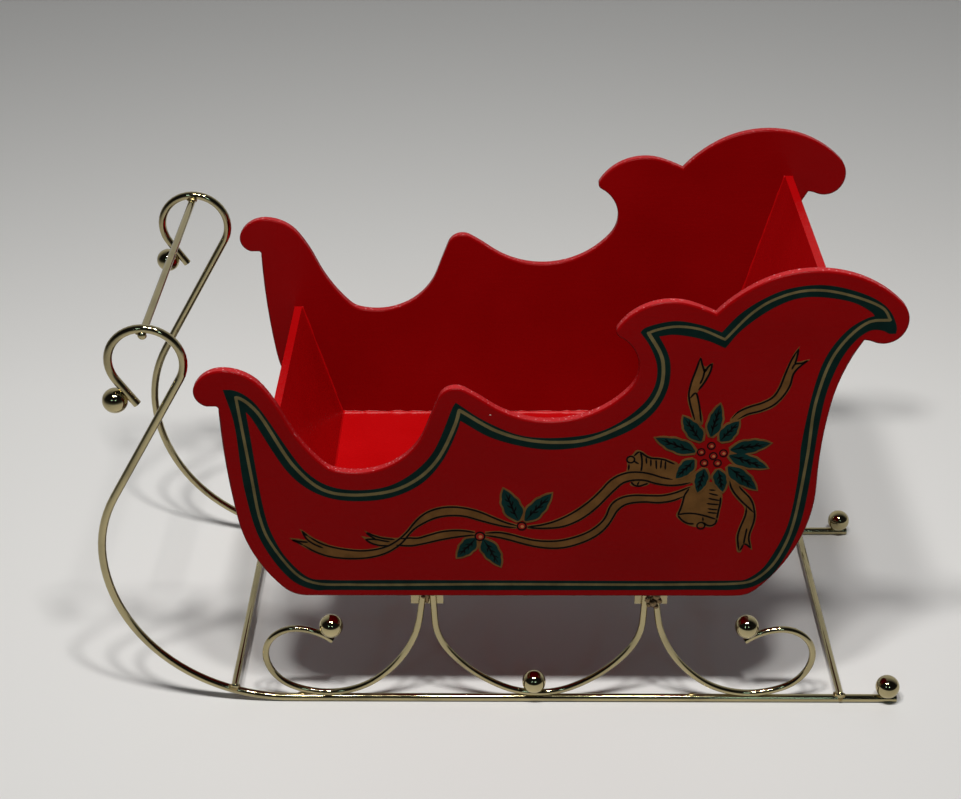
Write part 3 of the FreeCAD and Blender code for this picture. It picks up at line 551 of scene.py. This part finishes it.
# Leaves: tip, foot, greatest half width
LEAVES = [
    ((84.4, 204.4), (108.4, 194.6), 4.3), ((100, 219.2), (111.5, 201.9), 4.3),
    ((121.2, 227.3), (116.9, 205), 3.9), ((132.9, 216), (122.4, 201.9), 4.3),
    ((152.3, 200.6), (128.6, 196), 4.2), ((151.7, 183.3), (128.2, 192.2), 4),
    ((146.2, 168), (128, 184.6), 4.2), ((126.2, 166.4), (122.3, 182.4), 3.7),
    ((111, 165.8), (114.4, 183), 3.8), ((97.6, 175.8), (108.1, 189.2), 4),
    ((-2.2, 170), (7, 146.8), 5.2), ((26.9, 166.7), (10.8, 146.8), 4.6),
    ((-30.2, 119.6), (-18.4, 134.2), 4.4), ((-3.3, 113), (-13.9, 133.4), 4.7),
]
CLUSTER = [(117.5, 198.8), (111.9, 194.6), (124.7, 193.8), (119, 191.9), (114, 187.2), (121.7, 187.1)]
CLUSTER_RADIUS = 2.5
BERRIES = [((8.9, 143), 3), ((-15.9, 135.6), 3.3)]
BERRY_RED, SPOT, SPOT_OFF = 0.70, 0.34, (0.10, -0.08)       # shares of a berry's radius

# One side of a leaf from foot to tip, as shares of its length and half width
LEAF_SIDE = ((0.00, 0.12), (0.10, 0.50), (0.22, 0.88), (0.34, 1.00), (0.44, 0.90), (0.54, 0.92),
             (0.62, 0.88), (0.70, 0.68), (0.78, 0.58), (0.86, 0.42), (0.93, 0.22), (1.00, 0))
LEAF_WIDER = 1.04                   # all leaves are drawn a little wider than LEAVES says
LEAF_EDGE = 1.3                     # width of the gold edge, and its share at the foot and sides
EDGE_AT_FOOT, EDGE_AT_SIDE = 0.6, 0.9
LEAF_BLUNT = 0.9                    # what is taken off a leaf's tip
LEAF_LAG = 0.03                     # how far the spines of one side lie ahead of the other's
LEAF_RIB = ((0.04, 0), (0.3, 0.25), (0.55, -0.1), (0.84, 0))
LEAF_VEINS = ((0.20, 1), (0.27, -1), (0.38, 1), (0.45, -1), (0.57, 1), (0.64, -1))
# Bend and end of a vein, as shares of the leaf's length and half width, and the loss towards the tip
VEIN_BEND, VEIN_END, VEIN_SHORTER = (0.07, 0.26), (0.13, 0.50), 0.25

BELL_LOW = [(106.4, 171), (103, 165), (102.3, 160.4), (101.2, 155.4), (99.6, 150.6), (102.2, 147),
            (106, 144.2), (111, 142.4), (116.6, 142.4), (121.2, 142.4), (124, 145.4), (124.7, 148.3),
            (125.3, 154), (126, 159), (126, 164.5), (124, 172), (116, 174)]
BELL_LEFT = [(69.3, 188.6), (70.2, 191.4), (72.2, 192.6), (74.8, 195.8), (77.8, 195.2), (81, 192.6),
             (84, 191.2), (87.6, 190.9), (91.6, 190.2), (95.4, 188.6), (99, 186.6), (100, 176),
             (90, 178.4), (80, 180.4), (69.8, 180.2), (69.7, 185)]
# Brush lines of the bells, first the low one's outline, mouth and clapper, then the left one's
BELL_LINES = [
    [(106.3, 169.4), (103.9, 164.7), (103.2, 160.4), (102.1, 155.4), (100.6, 150.8)],
    [(125, 163.3), (125, 159), (124.3, 154), (123.7, 148.3)],
    [(100.6, 151.1), (105, 152), (110, 151.9), (115, 150.8), (119.3, 149.4), (123.2, 147.9)],
    [(100.6, 150.8), (102.9, 147.6), (106.4, 145.1), (110.6, 144.5)],
    [(115.8, 145.8), (116.8, 144.7), (118.6, 143.5), (121, 143.4), (123.2, 145.2), (123.7, 148)],
    [(115.4, 149.6), (115.7, 146.1)],
    [(73.4, 191.7), (75.7, 194.4), (77, 194.7)],
    [(77, 194.7), (80.1, 191.9), (83.4, 190.3), (87.3, 190), (91.2, 189.2), (94.6, 187.5), (97.2, 186.2)],
    [(77, 194.7), (78, 190), (78.2, 185), (77.8, 180.8)],
    [(73.4, 188.6), (74.8, 187.4), (76.5, 186.4)],
    [(70.7, 186.4), (70.7, 185.3), (70.6, 182)],
    [(72.3, 174.2), (73.7, 172.2), (75.7, 171.1), (77.3, 171.1), (79, 171.7), (82.3, 173.1)],
    [(77.1, 174.4), (76.3, 172.5), (75.9, 171.1)],
]
BELL_HATCHES = [
    ((117.9, 168.6), (121.8, 168.3)), ((117.9, 166.3), (123.6, 164.7)), ((117.9, 162.7), (124.6, 161.1)),
    ((117, 159), (124.3, 158.3)), ((117.9, 155.4), (123.9, 154.6)), ((117.9, 152.9), (123.6, 152.2)),
    ((80.4, 190.9), (80.9, 186.4)), ((83.2, 189.8), (83.4, 184.7)), ((86.2, 189.4), (86.7, 182.8)),
    ((89.3, 189.2), (89.1, 183.3)), ((91.7, 188.4), (91.8, 182.5)),
]
# The left bell's mouth is an oval: centre, radius, height over width and turn in degrees
BELL_MOUTH = ((77.4, 172.8), 5.8, 0.38, 4)
# Knobs of the two bells: centre, radius and width of a ring
BELL_KNOBS = [((114.6, 143.3), 2.3, 0.95), ((71.6, 189.4), 2.2, 1.05)]
HATCH_SAG = 0.15        # how far a hatch line bends down in its middle

# Heights of the paint's tops over the panel's face
BARE_LEVEL = 0.03
BORDER_LEVEL, LINE_DOT_LEVEL, LINE_LEVEL = 0.050, 0.080, 0.085
BELL_LEVEL, MOUTH_LEVEL, BELL_INK_LEVEL = 0.06, 0.045, 0.11
TAIL_LEVEL, TAIL_INK_LEVEL = 0.06, 0.12
RIBBON_LEVEL, RIBBON_INK_LEVEL = 0.08, 0.13
FRONT_TAIL_LEVEL, FRONT_TAIL_INK_LEVEL = 0.105, 0.17
LEAF_LEVEL = 0.18
BERRY_LEVEL = 0.26
# What each next shape of a kind lies higher than the one before
NEXT_RUN, NEXT_TAIL, NEXT_RIBBON, NEXT_LEAF = 0.003, 0.01, 0.012, 0.002
# What a leaf's blade and veins lie over its gold edge, and each ring of a berry over the last
BLADE_RISE, VEIN_RISE, BERRY_RISE = 0.03, 0.05, 0.02

# How far a ribbon's gold reaches past its two lines
OVER_UPPER, OVER_LOWER = 1.0, 0.8
# Widths of the brush lines, and the share of their length over which they thin out
PEN, HATCH, BELL_HATCH = 1.15, 0.95, 1.05
RIBBON_TAPER, BELL_TAPER, TAIL_TAPER, HATCH_TAPER, RIB_TAPER, VEIN_TAPER = 0.04, 0.08, 0.12, 0.2, 0.35, 0.4


def border(inks):
    """The green band with its gold line, run by run."""
    for k, (towards_rim, towards_middle, line, width) in enumerate(BORDER):
        inks["green"].face(smooth(towards_rim) + smooth(towards_middle)[::-1], BORDER_LEVEL + NEXT_RUN * k)
        inks["gold_line"].stroke(smooth(line), width, LINE_LEVEL + NEXT_RUN * k)
        inks["gold_line"].face(circle(line[0], width / 2, sides=16), LINE_DOT_LEVEL)


def ribbons(inks):
    for k, (upper, lower) in enumerate(RIBBONS):
        up, low = smooth(upper), smooth(lower)
        gold_edges = shift(up, OVER_UPPER), shift(low, -OVER_LOWER)
        inks["gold"].between(*gold_edges, RIBBON_LEVEL + NEXT_RIBBON * k)
        for line in (up, low):
            inks["black"].stroke(line, PEN, RIBBON_INK_LEVEL + NEXT_RIBBON * k, RIBBON_TAPER)


def tail(inks, outline, soft, strokes, level, ink_level):
    inks["gold"].face(closed(outline) if soft else outline, level)
    for line in strokes:
        inks["black"].stroke(smooth(line), PEN, ink_level, TAIL_TAPER)


def leaf_outline(tip, foot, half, grow=0.0):
    """A holly leaf: a pointed blade with two soft spines a side."""
    along = (tip - foot).normalized()
    across = Vector((-along.y, along.x))
    tip = tip + along * (grow - LEAF_BLUNT)
    foot = foot - along * grow * EDGE_AT_FOOT
    length = (tip - foot).length
    sides = []
    for sign in (1, -1):
        row = []
        for t, w in LEAF_SIDE:
            at = t + LEAF_LAG * sign * math.sin(math.pi * t)
            reach = half * w + grow * EDGE_AT_SIDE * (1 - t ** 6)
            row.append(foot + along * length * at + across * reach * sign)
        sides.append(row)
    return smooth(sides[0], OUTLINE_STEP)[:-1] + smooth(sides[1], OUTLINE_STEP)[::-1]


def leaf(inks, tip, foot, half, level):
    """A green blade on a wider gold one, with a black middle rib and six short veins."""
    tip, foot = Vector(tip), Vector(foot)
    half *= LEAF_WIDER
    inks["gold"].face(leaf_outline(tip, foot, half, LEAF_EDGE), level)
    inks["leaf"].face(leaf_outline(tip, foot, half), level + BLADE_RISE)
    along = tip - foot
    across = Vector((-along.y, along.x)).normalized()
    rib = [foot + along * t + across * off for t, off in LEAF_RIB]
    inks["black"].stroke(rib, PEN, level + VEIN_RISE, RIB_TAPER)
    for at, sign in LEAF_VEINS:
        base = foot + along * at
        bend = base + along * VEIN_BEND[0] + across * half * VEIN_BEND[1] * sign
        end = base + along * VEIN_END[0] + across * half * (VEIN_END[1] - VEIN_SHORTER * at) * sign
        inks["black"].stroke([base, bend, end], HATCH, level + VEIN_RISE, VEIN_TAPER)


def berry(inks, centre, radius):
    """A red disc with a black rim and a light spot a little off its middle."""
    spot = Vector(centre) + radius * Vector(SPOT_OFF)
    inks["black"].face(circle(centre, radius), BERRY_LEVEL)
    inks["berry"].face(circle(centre, radius * BERRY_RED), BERRY_LEVEL + BERRY_RISE)
    inks["berry_light"].face(circle(spot, radius * SPOT, sides=20), BERRY_LEVEL + 2 * BERRY_RISE)


def bells(inks):
    gold, black = inks["gold"], inks["black"]
    gold.face(closed(BELL_LOW), BELL_LEVEL)
    gold.face(closed(BELL_LEFT), BELL_LEVEL)
    centre, radius, squeeze, turn = BELL_MOUTH
    gold.face(circle(centre, radius, sides=24, squeeze=squeeze, turn=turn), MOUTH_LEVEL)
    for line in BELL_LINES:
        black.stroke(smooth(line), PEN, BELL_INK_LEVEL, BELL_TAPER)
    for centre, radius, width in BELL_KNOBS:
        black.ring(centre, radius, width, BELL_INK_LEVEL)
    for start, end in BELL_HATCHES:
        between = ((start[0] + end[0]) / 2, (start[1] + end[1]) / 2 - HATCH_SAG)
        black.stroke(smooth([start, between, end]), BELL_HATCH, BELL_INK_LEVEL, HATCH_TAPER)


# Spots near the rim where the paint is knocked off: x, z and half their width
CHIPS = {"left": [(-9.4, 219.4, 0.55)], "right": [(-9.4, 219.4, 0.55), (-118, 93.6, 0.40)]}
CHIP_SHAPE = ((-1.0, 0.1), (-0.3, 0.7), (0.5, 0.4), (1.1, -0.2), (0.3, -0.6), (-0.5, -0.5))

INKS = (("green", GREEN), ("gold", GOLD), ("black", BLACK), ("berry", BERRY), ("berry_light", SHINE),
        ("chips", BARE), ("leaf", LEAF), ("gold_line", LINE))


def paint_side(side_name, side):
    inks = {colour: Print() for colour, _ in INKS}
    border(inks)
    bells(inks)
    for k, row in enumerate(TAILS, 1):
        tail(inks, *row, TAIL_LEVEL + NEXT_TAIL * k, TAIL_INK_LEVEL)
    ribbons(inks)
    tail(inks, *FRONT_TAIL, FRONT_TAIL_LEVEL, FRONT_TAIL_INK_LEVEL)
    for k, row in enumerate(LEAVES):
        leaf(inks, *row, LEAF_LEVEL + NEXT_LEAF * k)
    for centre in CLUSTER:
        berry(inks, centre, CLUSTER_RADIUS)
    for centre, radius in BERRIES:
        berry(inks, centre, radius)
    for x, z, size in CHIPS[side_name]:
        inks["chips"].face([(x + size * dx, z + size * dz) for dx, dz in CHIP_SHAPE], BARE_LEVEL)
    for colour, mat in INKS:
        inks[colour].build("paint_%s_%s" % (colour, side_name), side, mat)


for side_name, side in SIDES:
    paint_side(side_name, side)


# Small pieces that ride on the body: paint in the corners, solder, bar ends and screws

KNOT_STEP = 3               # values from one random knot to the next


def wander(rng, count):
    """Values between -1 and 1 that change smoothly from one to the next."""
    knots = [rng.uniform(-1, 1) for _ in range(count // KNOT_STEP + 3)]
    out = []
    for k in range(count):
        at, t = divmod(k / KNOT_STEP, 1)
        t = t * t * (3 - 2 * t)
        out.append(knots[int(at)] * (1 - t) + knots[int(at) + 1] * t)
    return out


def add_point(bm, place):
    return bm.verts.new(place * MM)


def skin(bm, rows, ends=False):
    """Faces between closed rows of points, one after the other. A row may be a single point."""
    for one, two in zip(rows, rows[1:]):
        count = max(len(one), len(two))
        for k in range(count):
            j = (k + 1) % count
            around = (one[k % len(one)], two[k % len(two)], two[j % len(two)], one[j % len(one)])
            bm.faces.new(list(dict.fromkeys(around)))
    if ends:
        bm.faces.new(rows[0][::-1])
        bm.faces.new(rows[-1])


SEAM_STEP = 1.5
SEAM_UNEVEN = 0.35
SEAM_ARC = 5                # faces over a fillet's quarter turn
SEAM_SUNK = 0.12            # how far a fillet reaches into the boards
FLOOR_SEAM, UPRIGHT_SEAM, FOOT_SEAM = 1.4, 0.7, 0.8
SEAM_SHORT = 0.1            # what the seams across the tub stop short of its panels
END_BOARD = 4.8             # thickness of the front and the back board


def seams(name, runs, mat, seed):
    """Paint drawn into the corners where boards meet: a hollow fillet of uneven size a run.

    A run has its two ends, the directions of the two faces that meet and the fillet's size.
    """
    rng = random.Random(seed)
    bm = bmesh.new()
    for start, end, u, v, size in runs:
        count = max(4, int((end - start).length / SEAM_STEP))
        rows = []
        for k, w in enumerate(wander(rng, count + 1)):
            s = size * (1 + SEAM_UNEVEN * w)
            turns = (math.pi / 2 * j / SEAM_ARC for j in range(SEAM_ARC + 1))
            profile = [(-SEAM_SUNK, -SEAM_SUNK), (-SEAM_SUNK, s)]
            profile += [(s - s * math.cos(a), s - s * math.sin(a)) for a in turns]
            profile.append((s, -SEAM_SUNK))
            at = start.lerp(end, k / count)
            rows.append([add_point(bm, at + u * a + v * b) for a, b in profile])
        skin(bm, rows, ends=True)
    finish_piece(name, bm, mat)


def end_boards():
    """For the front and the back board: foot and top of the inner face, the way through the board
    along X, the ways that the inner face looks and runs, and the way along the floor."""
    floor_low, floor_high = corners("floor_board")
    for name, outward, floor_end in (("front_board", -1, floor_low.x), ("back_board", 1, floor_high.x)):
        low, high = corners(name)
        width, height = high.x - low.x, high.z - low.z
        lean = math.atan2(width, height) - math.asin(END_BOARD / math.hypot(width, height))
        sine, cosine = math.sin(lean), math.cos(lean)
        foot = Vector((floor_end, 0, floor_high.z))
        run = Vector((outward * sine, 0, cosine))
        top = foot + run * (high.z - floor_high.z) / cosine
        through = Vector((outward * END_BOARD / cosine, 0, 0))
        yield foot, top, through, Vector((-outward * cosine, 0, sine)), run, Vector((-outward, 0, 0))


boards = list(end_boards())
front_foot, back_foot = boards[0][0], boards[1][0]
upwards = Vector((0, 0, 1))
floor_runs, board_runs = [], []
for _, side in SIDES:
    wall = Vector((0, side * INNER_Y, 0))
    inward = Vector((0, -side, 0))
    floor_runs.append((front_foot + wall, back_foot + wall, inward, upwards, FLOOR_SEAM))
    for foot, top, through, face, _, _ in boards:
        board_runs.append((foot + wall, top + wall, inward, face, UPRIGHT_SEAM))
        board_runs.append((foot + through + wall, top + through + wall, inward, -face, UPRIGHT_SEAM))
for foot, _, _, _, run, floorwards in boards:
    reach = Vector((0, INNER_Y - SEAM_SHORT, 0))
    board_runs.append((foot - reach, foot + reach, floorwards, run, FOOT_SEAM))
seams("floor_seams", floor_runs, PAINT_BEAD, 3)
seams("board_seams", board_runs, PAINT_Y, 4)

LUMP_ROWS, LUMP_AROUND = 9, 14
LUMP_FADE = 3               # points over which the unevenness fades where a row closes


def lump(bm, rng, centre, radii, rough, turn=0.0):
    """A blob of solder: a ball pressed to three radii and turned about Y, with an uneven skin."""
    twist = Matrix.Rotation(math.radians(turn), 3, "Y")
    rows = []
    for i in range(LUMP_ROWS + 1):
        lat = math.pi * i / LUMP_ROWS
        swells = [0] if i in (0, LUMP_ROWS) else wander(rng, LUMP_AROUND)
        row = []
        for k, swell in enumerate(swells):
            lon = 2 * math.pi * k / LUMP_AROUND
            fade = min(1.0, k / LUMP_FADE, (LUMP_AROUND - k) / LUMP_FADE)
            way = Vector((math.sin(lat) * math.cos(lon), math.sin(lat) * math.sin(lon), math.cos(lat)))
            p = way * Vector(radii) * (1 + rough * swell * fade)
            row.append(add_point(bm, centre + twist @ p))
        rows.append(row)
    skin(bm, rows)


COLLAR_STEPS, COLLAR_SIDES = 22, 8
COLLAR_TIP, UNEVEN_THICK, UNEVEN_WIDE = 0.02, 0.3, 0.25


def collar(bm, rng, centre, inner, reach, width, thick):
    """Solder drawn round a wire that lies along X, as far as reach degrees from its top each way."""
    rows = []
    for k, swell in enumerate(wander(rng, COLLAR_STEPS + 1)):
        t = k / COLLAR_STEPS
        angle = math.radians(reach * (2 * t - 1))
        ease = math.sqrt(max(COLLAR_TIP, math.sin(math.pi * t)))
        radial = Vector((0, math.sin(angle), math.cos(angle)))
        row = []
        for j in range(COLLAR_SIDES):
            a = 2 * math.pi * j / COLLAR_SIDES
            out = inner + thick * ease * (1 + UNEVEN_THICK * swell) * math.sin(a)
            along = width / 2 * ease * (1 + UNEVEN_WIDE * swell) * math.cos(a)
            row.append(add_point(bm, centre + radial * out + Vector((along, 0, 0))))
        rows.append(row)
    skin(bm, rows, ends=True)


def on_wire(name):
    """The middle of a bar or of a ball on the right, in the middle plane of the runner."""
    centre = middle(name)
    return Vector((centre.x, WIRE_Y, centre.z))


def under_scroll(name):
    """The front lower corner of the box round a scroll on the right."""
    low, _ = corners(name)
    return Vector((low.x, WIRE_Y, low.z))


def on_tab(name):
    """The middle of the lower edge of a strap's right tab, on its outer face."""
    low, high = corners(name)
    return Vector(((low.x + high.x) / 2, high.y, low.z))


def mirrored(point, side):
    return Vector((point.x, side * point.y, point.z))


FRONT_BAR, REAR_BAR, TOP_BAR = (on_wire(name + "_cross_bar") for name in ("front", "rear", "top"))
FRONT_TAB, REAR_TAB = on_tab("front_strap"), on_tab("rear_strap")

# Solder at the joints of the wires: a place, the offset from it with Y outwards, three radii and a turn
WELDS = [
    (FRONT_BAR, (-0.73, 1.4, -1.14), (3.4, 1.9, 2.3), 15),
    (FRONT_BAR, (1.47, -0.9, -1.84), (1.6, 2.6, 1.2), 10),
    (REAR_BAR, (1.4, 1.1, -0.45), (2.4, 1.7, 1.9), 0), (REAR_BAR, (-2.3, -0.5, -0.95), (1.8, 2.4, 1.1), 0),
    (TOP_BAR, (0.03, -1.9, 1.43), (3.1, 2.4, 1.7), 0), (TOP_BAR, (-2.57, -0.1, 1.23), (1.5, 2.0, 1.2), 0),
    (on_wire("curl_ball_right"), (5.95, 0, 3.64), (2.0, 2.1, 2.4), 30),
    (on_wire("front_scroll_ball_right"), (-3.86, 0, -5.23), (2.4, 2.2, 1.5), 35),
    (on_wire("rear_scroll_ball_right"), (3.86, 0, -5.23), (2.4, 2.2, 1.5), -35),
    (on_wire("centre_ball_right"), (-0.8, 0, -6.78), (3.0, 2.2, 1.3), 5),
    (on_wire("runner_end_ball_right"), (0, 0, -6.89), (3.2, 2.2, 1.2), 0),
    (under_scroll("front_scroll_right"), (23.35, 0, 0.37), (2.8, 1.5, 1.1), 0),
    (under_scroll("rear_scroll_right"), (28.78, 0, 0.07), (2.8, 1.5, 1.1), 0),
]
# Burnt flux and spatter at the tabs under the tub, given the same way
SPATTER = [
    (REAR_TAB, (-0.7, 2.6, 10.5), (3.0, 2.2, 2.6), 20), (REAR_TAB, (2.7, 4.2, 8.7), (2.6, 1.9, 3.2), -15),
    (REAR_TAB, (-2.1, 3.0, 6.1), (2.2, 1.9, 2.8), 10), (REAR_TAB, (5.7, 2.8, 11.1), (2.3, 2.0, 2.4), 0),
    (REAR_TAB, (1.1, 4.3, 3.7), (2.3, 1.6, 3.0), 10), (REAR_TAB, (4.7, 4.0, 5.3), (1.9, 1.5, 2.4), -20),
    (REAR_TAB, (-1.3, 3.2, 1.7), (1.4, 1.3, 1.9), 0), (REAR_TAB, (3.1, 4.0, 0.9), (1.5, 1.3, 1.8), 0),
    (FRONT_TAB, (-0.5, 3.0, 10.1), (1.6, 1.6, 2.2), 0), (FRONT_TAB, (-2.1, 3.9, 7.9), (1.5, 1.0, 1.1), 25),
    (FRONT_TAB, (0.0, 0.7, 6.5), (1.7, 1.0, 6.2), 0),
]
SOLDER_ROUGH, CAP_ROUGH = 0.16, 0.03
CAP_RADII = (2.65, 1.45, 2.5)
CAP_OFF = 0.2               # the caps sit a little to the rear and low on their bars
BAR_END_Y = corners("front_cross_bar")[1].y

bm = bmesh.new()
rng = random.Random(5)
for _, side in SIDES:
    for bar in (FRONT_BAR, REAR_BAR, TOP_BAR):
        lump(bm, rng, Vector((bar.x + CAP_OFF, side * BAR_END_Y, bar.z - CAP_OFF)), CAP_RADII, CAP_ROUGH)
finish_piece("bar_end_caps", bm, WIRE)

wire_low, wire_high = corners("runner_right")
WIRE_RADIUS = (wire_high.y - wire_low.y) / 2
COLLAR_BEHIND = 0.5         # how far the collar lies behind the rear bar
COLLAR_PLACE = Vector((REAR_BAR.x + COLLAR_BEHIND, WIRE_Y, WIRE_RADIUS))
for name, spots, mat, seed in (("solder_beads", WELDS, WELD, 11), ("solder_spatter", SPATTER, BURNT, 12)):
    rng = random.Random(seed)
    bm = bmesh.new()
    for _, side in SIDES:
        for place, offset, radii, turn in spots:
            lump(bm, rng, mirrored(place + Vector(offset), side), radii, SOLDER_ROUGH, turn)
        if name == "solder_beads":
            collar(bm, rng, mirrored(COLLAR_PLACE, side), inner=2.4, reach=125, width=3.4, thick=1.05)
    finish_piece(name, bm, mat)

SCREW_AROUND = 40
# Half a screw head from its middle to its edge: radius and height
SCREW_PROFILE = [(0.0, 1.15), (0.5, 1.14), (1.0, 1.10), (1.5, 1.02), (2.0, 0.88), (2.4, 0.68), (2.7, 0.42),
                 (2.85, 0.1), (2.85, -0.3)]
SLOT_HALF, SLOT_REACH, SLOT_DEEP = 0.32, 2.5, 0.55
SCREW_Y = 62
STRAP_THICK = 1.5


def strap_screw(bm, centre):
    """A domed screw head under a strap, with its slot pressed in."""
    rows = []
    for radius, height in SCREW_PROFILE:
        row = []
        for k in range(SCREW_AROUND if radius else 1):
            a = 2 * math.pi * (k + 0.5) / SCREW_AROUND
            x, y = radius * math.cos(a), radius * math.sin(a)
            sink = SLOT_DEEP if abs(y) < SLOT_HALF and radius < SLOT_REACH else 0.0
            row.append(add_point(bm, centre + Vector((x, y, sink - height))))
        rows.append(row)
    skin(bm, rows)
    bm.faces.new(rows[-1][::-1])


bm = bmesh.new()
for name in ("front_strap", "rear_strap"):
    low, high = corners(name)
    for y in (-SCREW_Y, SCREW_Y):
        strap_screw(bm, Vector(((low.x + high.x) / 2, y, high.z - STRAP_THICK)))
finish_piece("strap_screws", bm, STRAP)


# Floor, light and camera, in metres

def seen(tree):
    """1 where a thing is seen directly, in the brass or through glass, 0 where it only throws light."""
    path = add_node(tree, "LightPath").outputs
    mirror = combine(tree, "MAXIMUM", path["Is Glossy Ray"], path["Is Transmission Ray"])
    return combine(tree, "MAXIMUM", path["Is Camera Ray"], mirror)


def fade_unseen(tree, colour, share):
    """The colour where it is seen, and only that share of it where it throws light."""
    return scaled(tree, colour, spread(tree, seen(tree), (0, 1), (share, 1)))


FLOOR_COLOUR = (0.70, 0.695, 0.685)
FLOOR_ROUGH = 0.55
FLOOR_HALF = 4
FLOOR_FADE = (-0.4, 1.6)                                # Y over which the floor's colour gets lighter away from the camera, painted light that makes up for the lamps' falloff
FLOOR_TONES = ((0.00, 0.905), (0.35, 1.36), (1.00, 1.42))
FLOOR_THROWN = 0.38

mesh = bpy.data.meshes.new("floor")
mesh.from_pydata([(x * FLOOR_HALF, y * FLOOR_HALF, 0) for x, y in ((-1, -1), (1, -1), (1, 1), (-1, 1))],
                 [], [(0, 1, 2, 3)])
mat, tree, shader = new_material("floor", FLOOR_COLOUR, FLOOR_ROUGH)
mesh.materials.append(mat)
floor = bpy.data.objects.new("floor", mesh)
bpy.context.scene.collection.objects.link(floor)
stops = [(at, tuple(c * tone for c in FLOOR_COLOUR)) for at, tone in FLOOR_TONES]
tone = ramp(tree, spread(tree, split(tree, "Object")["Y"], FLOOR_FADE, (0, 1)), stops)
tree.links.new(fade_unseen(tree, tone, FLOOR_THROWN), shader.inputs["Base Color"])

LIGHT_TARGET = (0, 0, 0.1)
LAMP_Y, LAMP_Z = -0.60, 1.45
LAMP_SIZE, LAMP_POWER, LAMP_COLOUR = (0.11, 0.11), 7.4, (1.0, 0.985, 0.96)
GLINT_SIZE, GLINT_POWER, GLINT_COLOUR = (0.26, 0.18), 1.8, (0.50, 0.83, 1.0)


def area_light(name, place, size, power, colour):
    lamp = bpy.data.lights.new(name, "AREA")
    lamp.shape = "RECTANGLE"
    lamp.size, lamp.size_y = size
    lamp.energy = power
    lamp.color = colour
    obj = bpy.data.objects.new(name, lamp)
    obj.location = place
    obj.rotation_mode = "QUATERNION"
    obj.rotation_quaternion = (Vector(LIGHT_TARGET) - Vector(place)).to_track_quat("-Z", "Y")
    bpy.context.scene.collection.objects.link(obj)


for name, x in (("lamp_right", 0.20), ("lamp_middle", -0.06), ("lamp_left", -0.29)):
    area_light(name, (x, LAMP_Y, LAMP_Z), LAMP_SIZE, LAMP_POWER, LAMP_COLOUR)
for name, place in (("glint_left", (-1.05, -2.6, 1.72)), ("glint_right", (0.62, -2.6, 1.60))):
    area_light(name, place, GLINT_SIZE, GLINT_POWER, GLINT_COLOUR)

# The room: bright behind the sleigh, dark behind the camera, with a faint band at the horizon
SKY_HEIGHT = ((0.50, (1.0, 1.0, 0.99)), (0.75, (1.0, 1.0, 1.0)), (0.95, (0.85, 0.85, 0.85)))
SKY_DEPTH = ((0.51, (0.012, 0.012, 0.014)), (0.66, (0.24, 0.24, 0.24)), (0.86, (0.55, 0.55, 0.54)))
SKY_BAND = ((0.50, (0.055, 0.055, 0.054)), (0.54, (0.048, 0.048, 0.047)), (0.59, (0.0, 0.0, 0.0)))
SKY_THROWN = 0.50

world = bpy.data.worlds.new("studio")
bpy.context.scene.world = world
world.use_nodes = True
tree = world.node_tree
background = tree.nodes["Background"]
way = split(tree, "Generated")
rise = spread(tree, way["Z"], (-1, 1), (0, 1))
away = spread(tree, way["Y"], (-1, 1), (0, 1))
height = ramp(tree, rise, SKY_HEIGHT)
depth = ramp(tree, away, SKY_DEPTH)
band = ramp(tree, rise, SKY_BAND)
sky = add_node(tree, "VectorMath", height, depth, operation="MULTIPLY").outputs["Vector"]
room = add_node(tree, "VectorMath", sky, band, operation="MAXIMUM").outputs["Vector"]
tree.links.new(fade_unseen(tree, room, SKY_THROWN), background.inputs["Color"])
background.inputs["Strength"].default_value = 1.0

# The camera that matches the photograph: its place, its three axes, lens and shift
CAMERA_PLACE = (-0.0024, -0.9630, 0.7284)
CAMERA_RIGHT = Vector((0.99982, 0.01620, -0.01024))
CAMERA_UP = Vector((0.00071, 0.50278, 0.86441))
CAMERA_FORWARD = Vector((-0.01915, 0.86426, -0.50268))
CAMERA_SENSOR, CAMERA_LENS = 36, 65.51
CAMERA_SHIFT = (0.0119, -0.0006)

camera = bpy.data.objects.new("camera", bpy.data.cameras.new("camera"))
bpy.context.scene.collection.objects.link(camera)
bpy.context.scene.camera = camera
axes = Matrix((CAMERA_RIGHT, CAMERA_UP, -CAMERA_FORWARD)).transposed()
camera.matrix_world = Matrix.Translation(CAMERA_PLACE) @ axes.to_4x4()
camera.data.sensor_width = CAMERA_SENSOR
camera.data.lens = CAMERA_LENS
camera.data.shift_x, camera.data.shift_y = CAMERA_SHIFT

bpy.context.scene.view_settings.view_transform = "Standard"
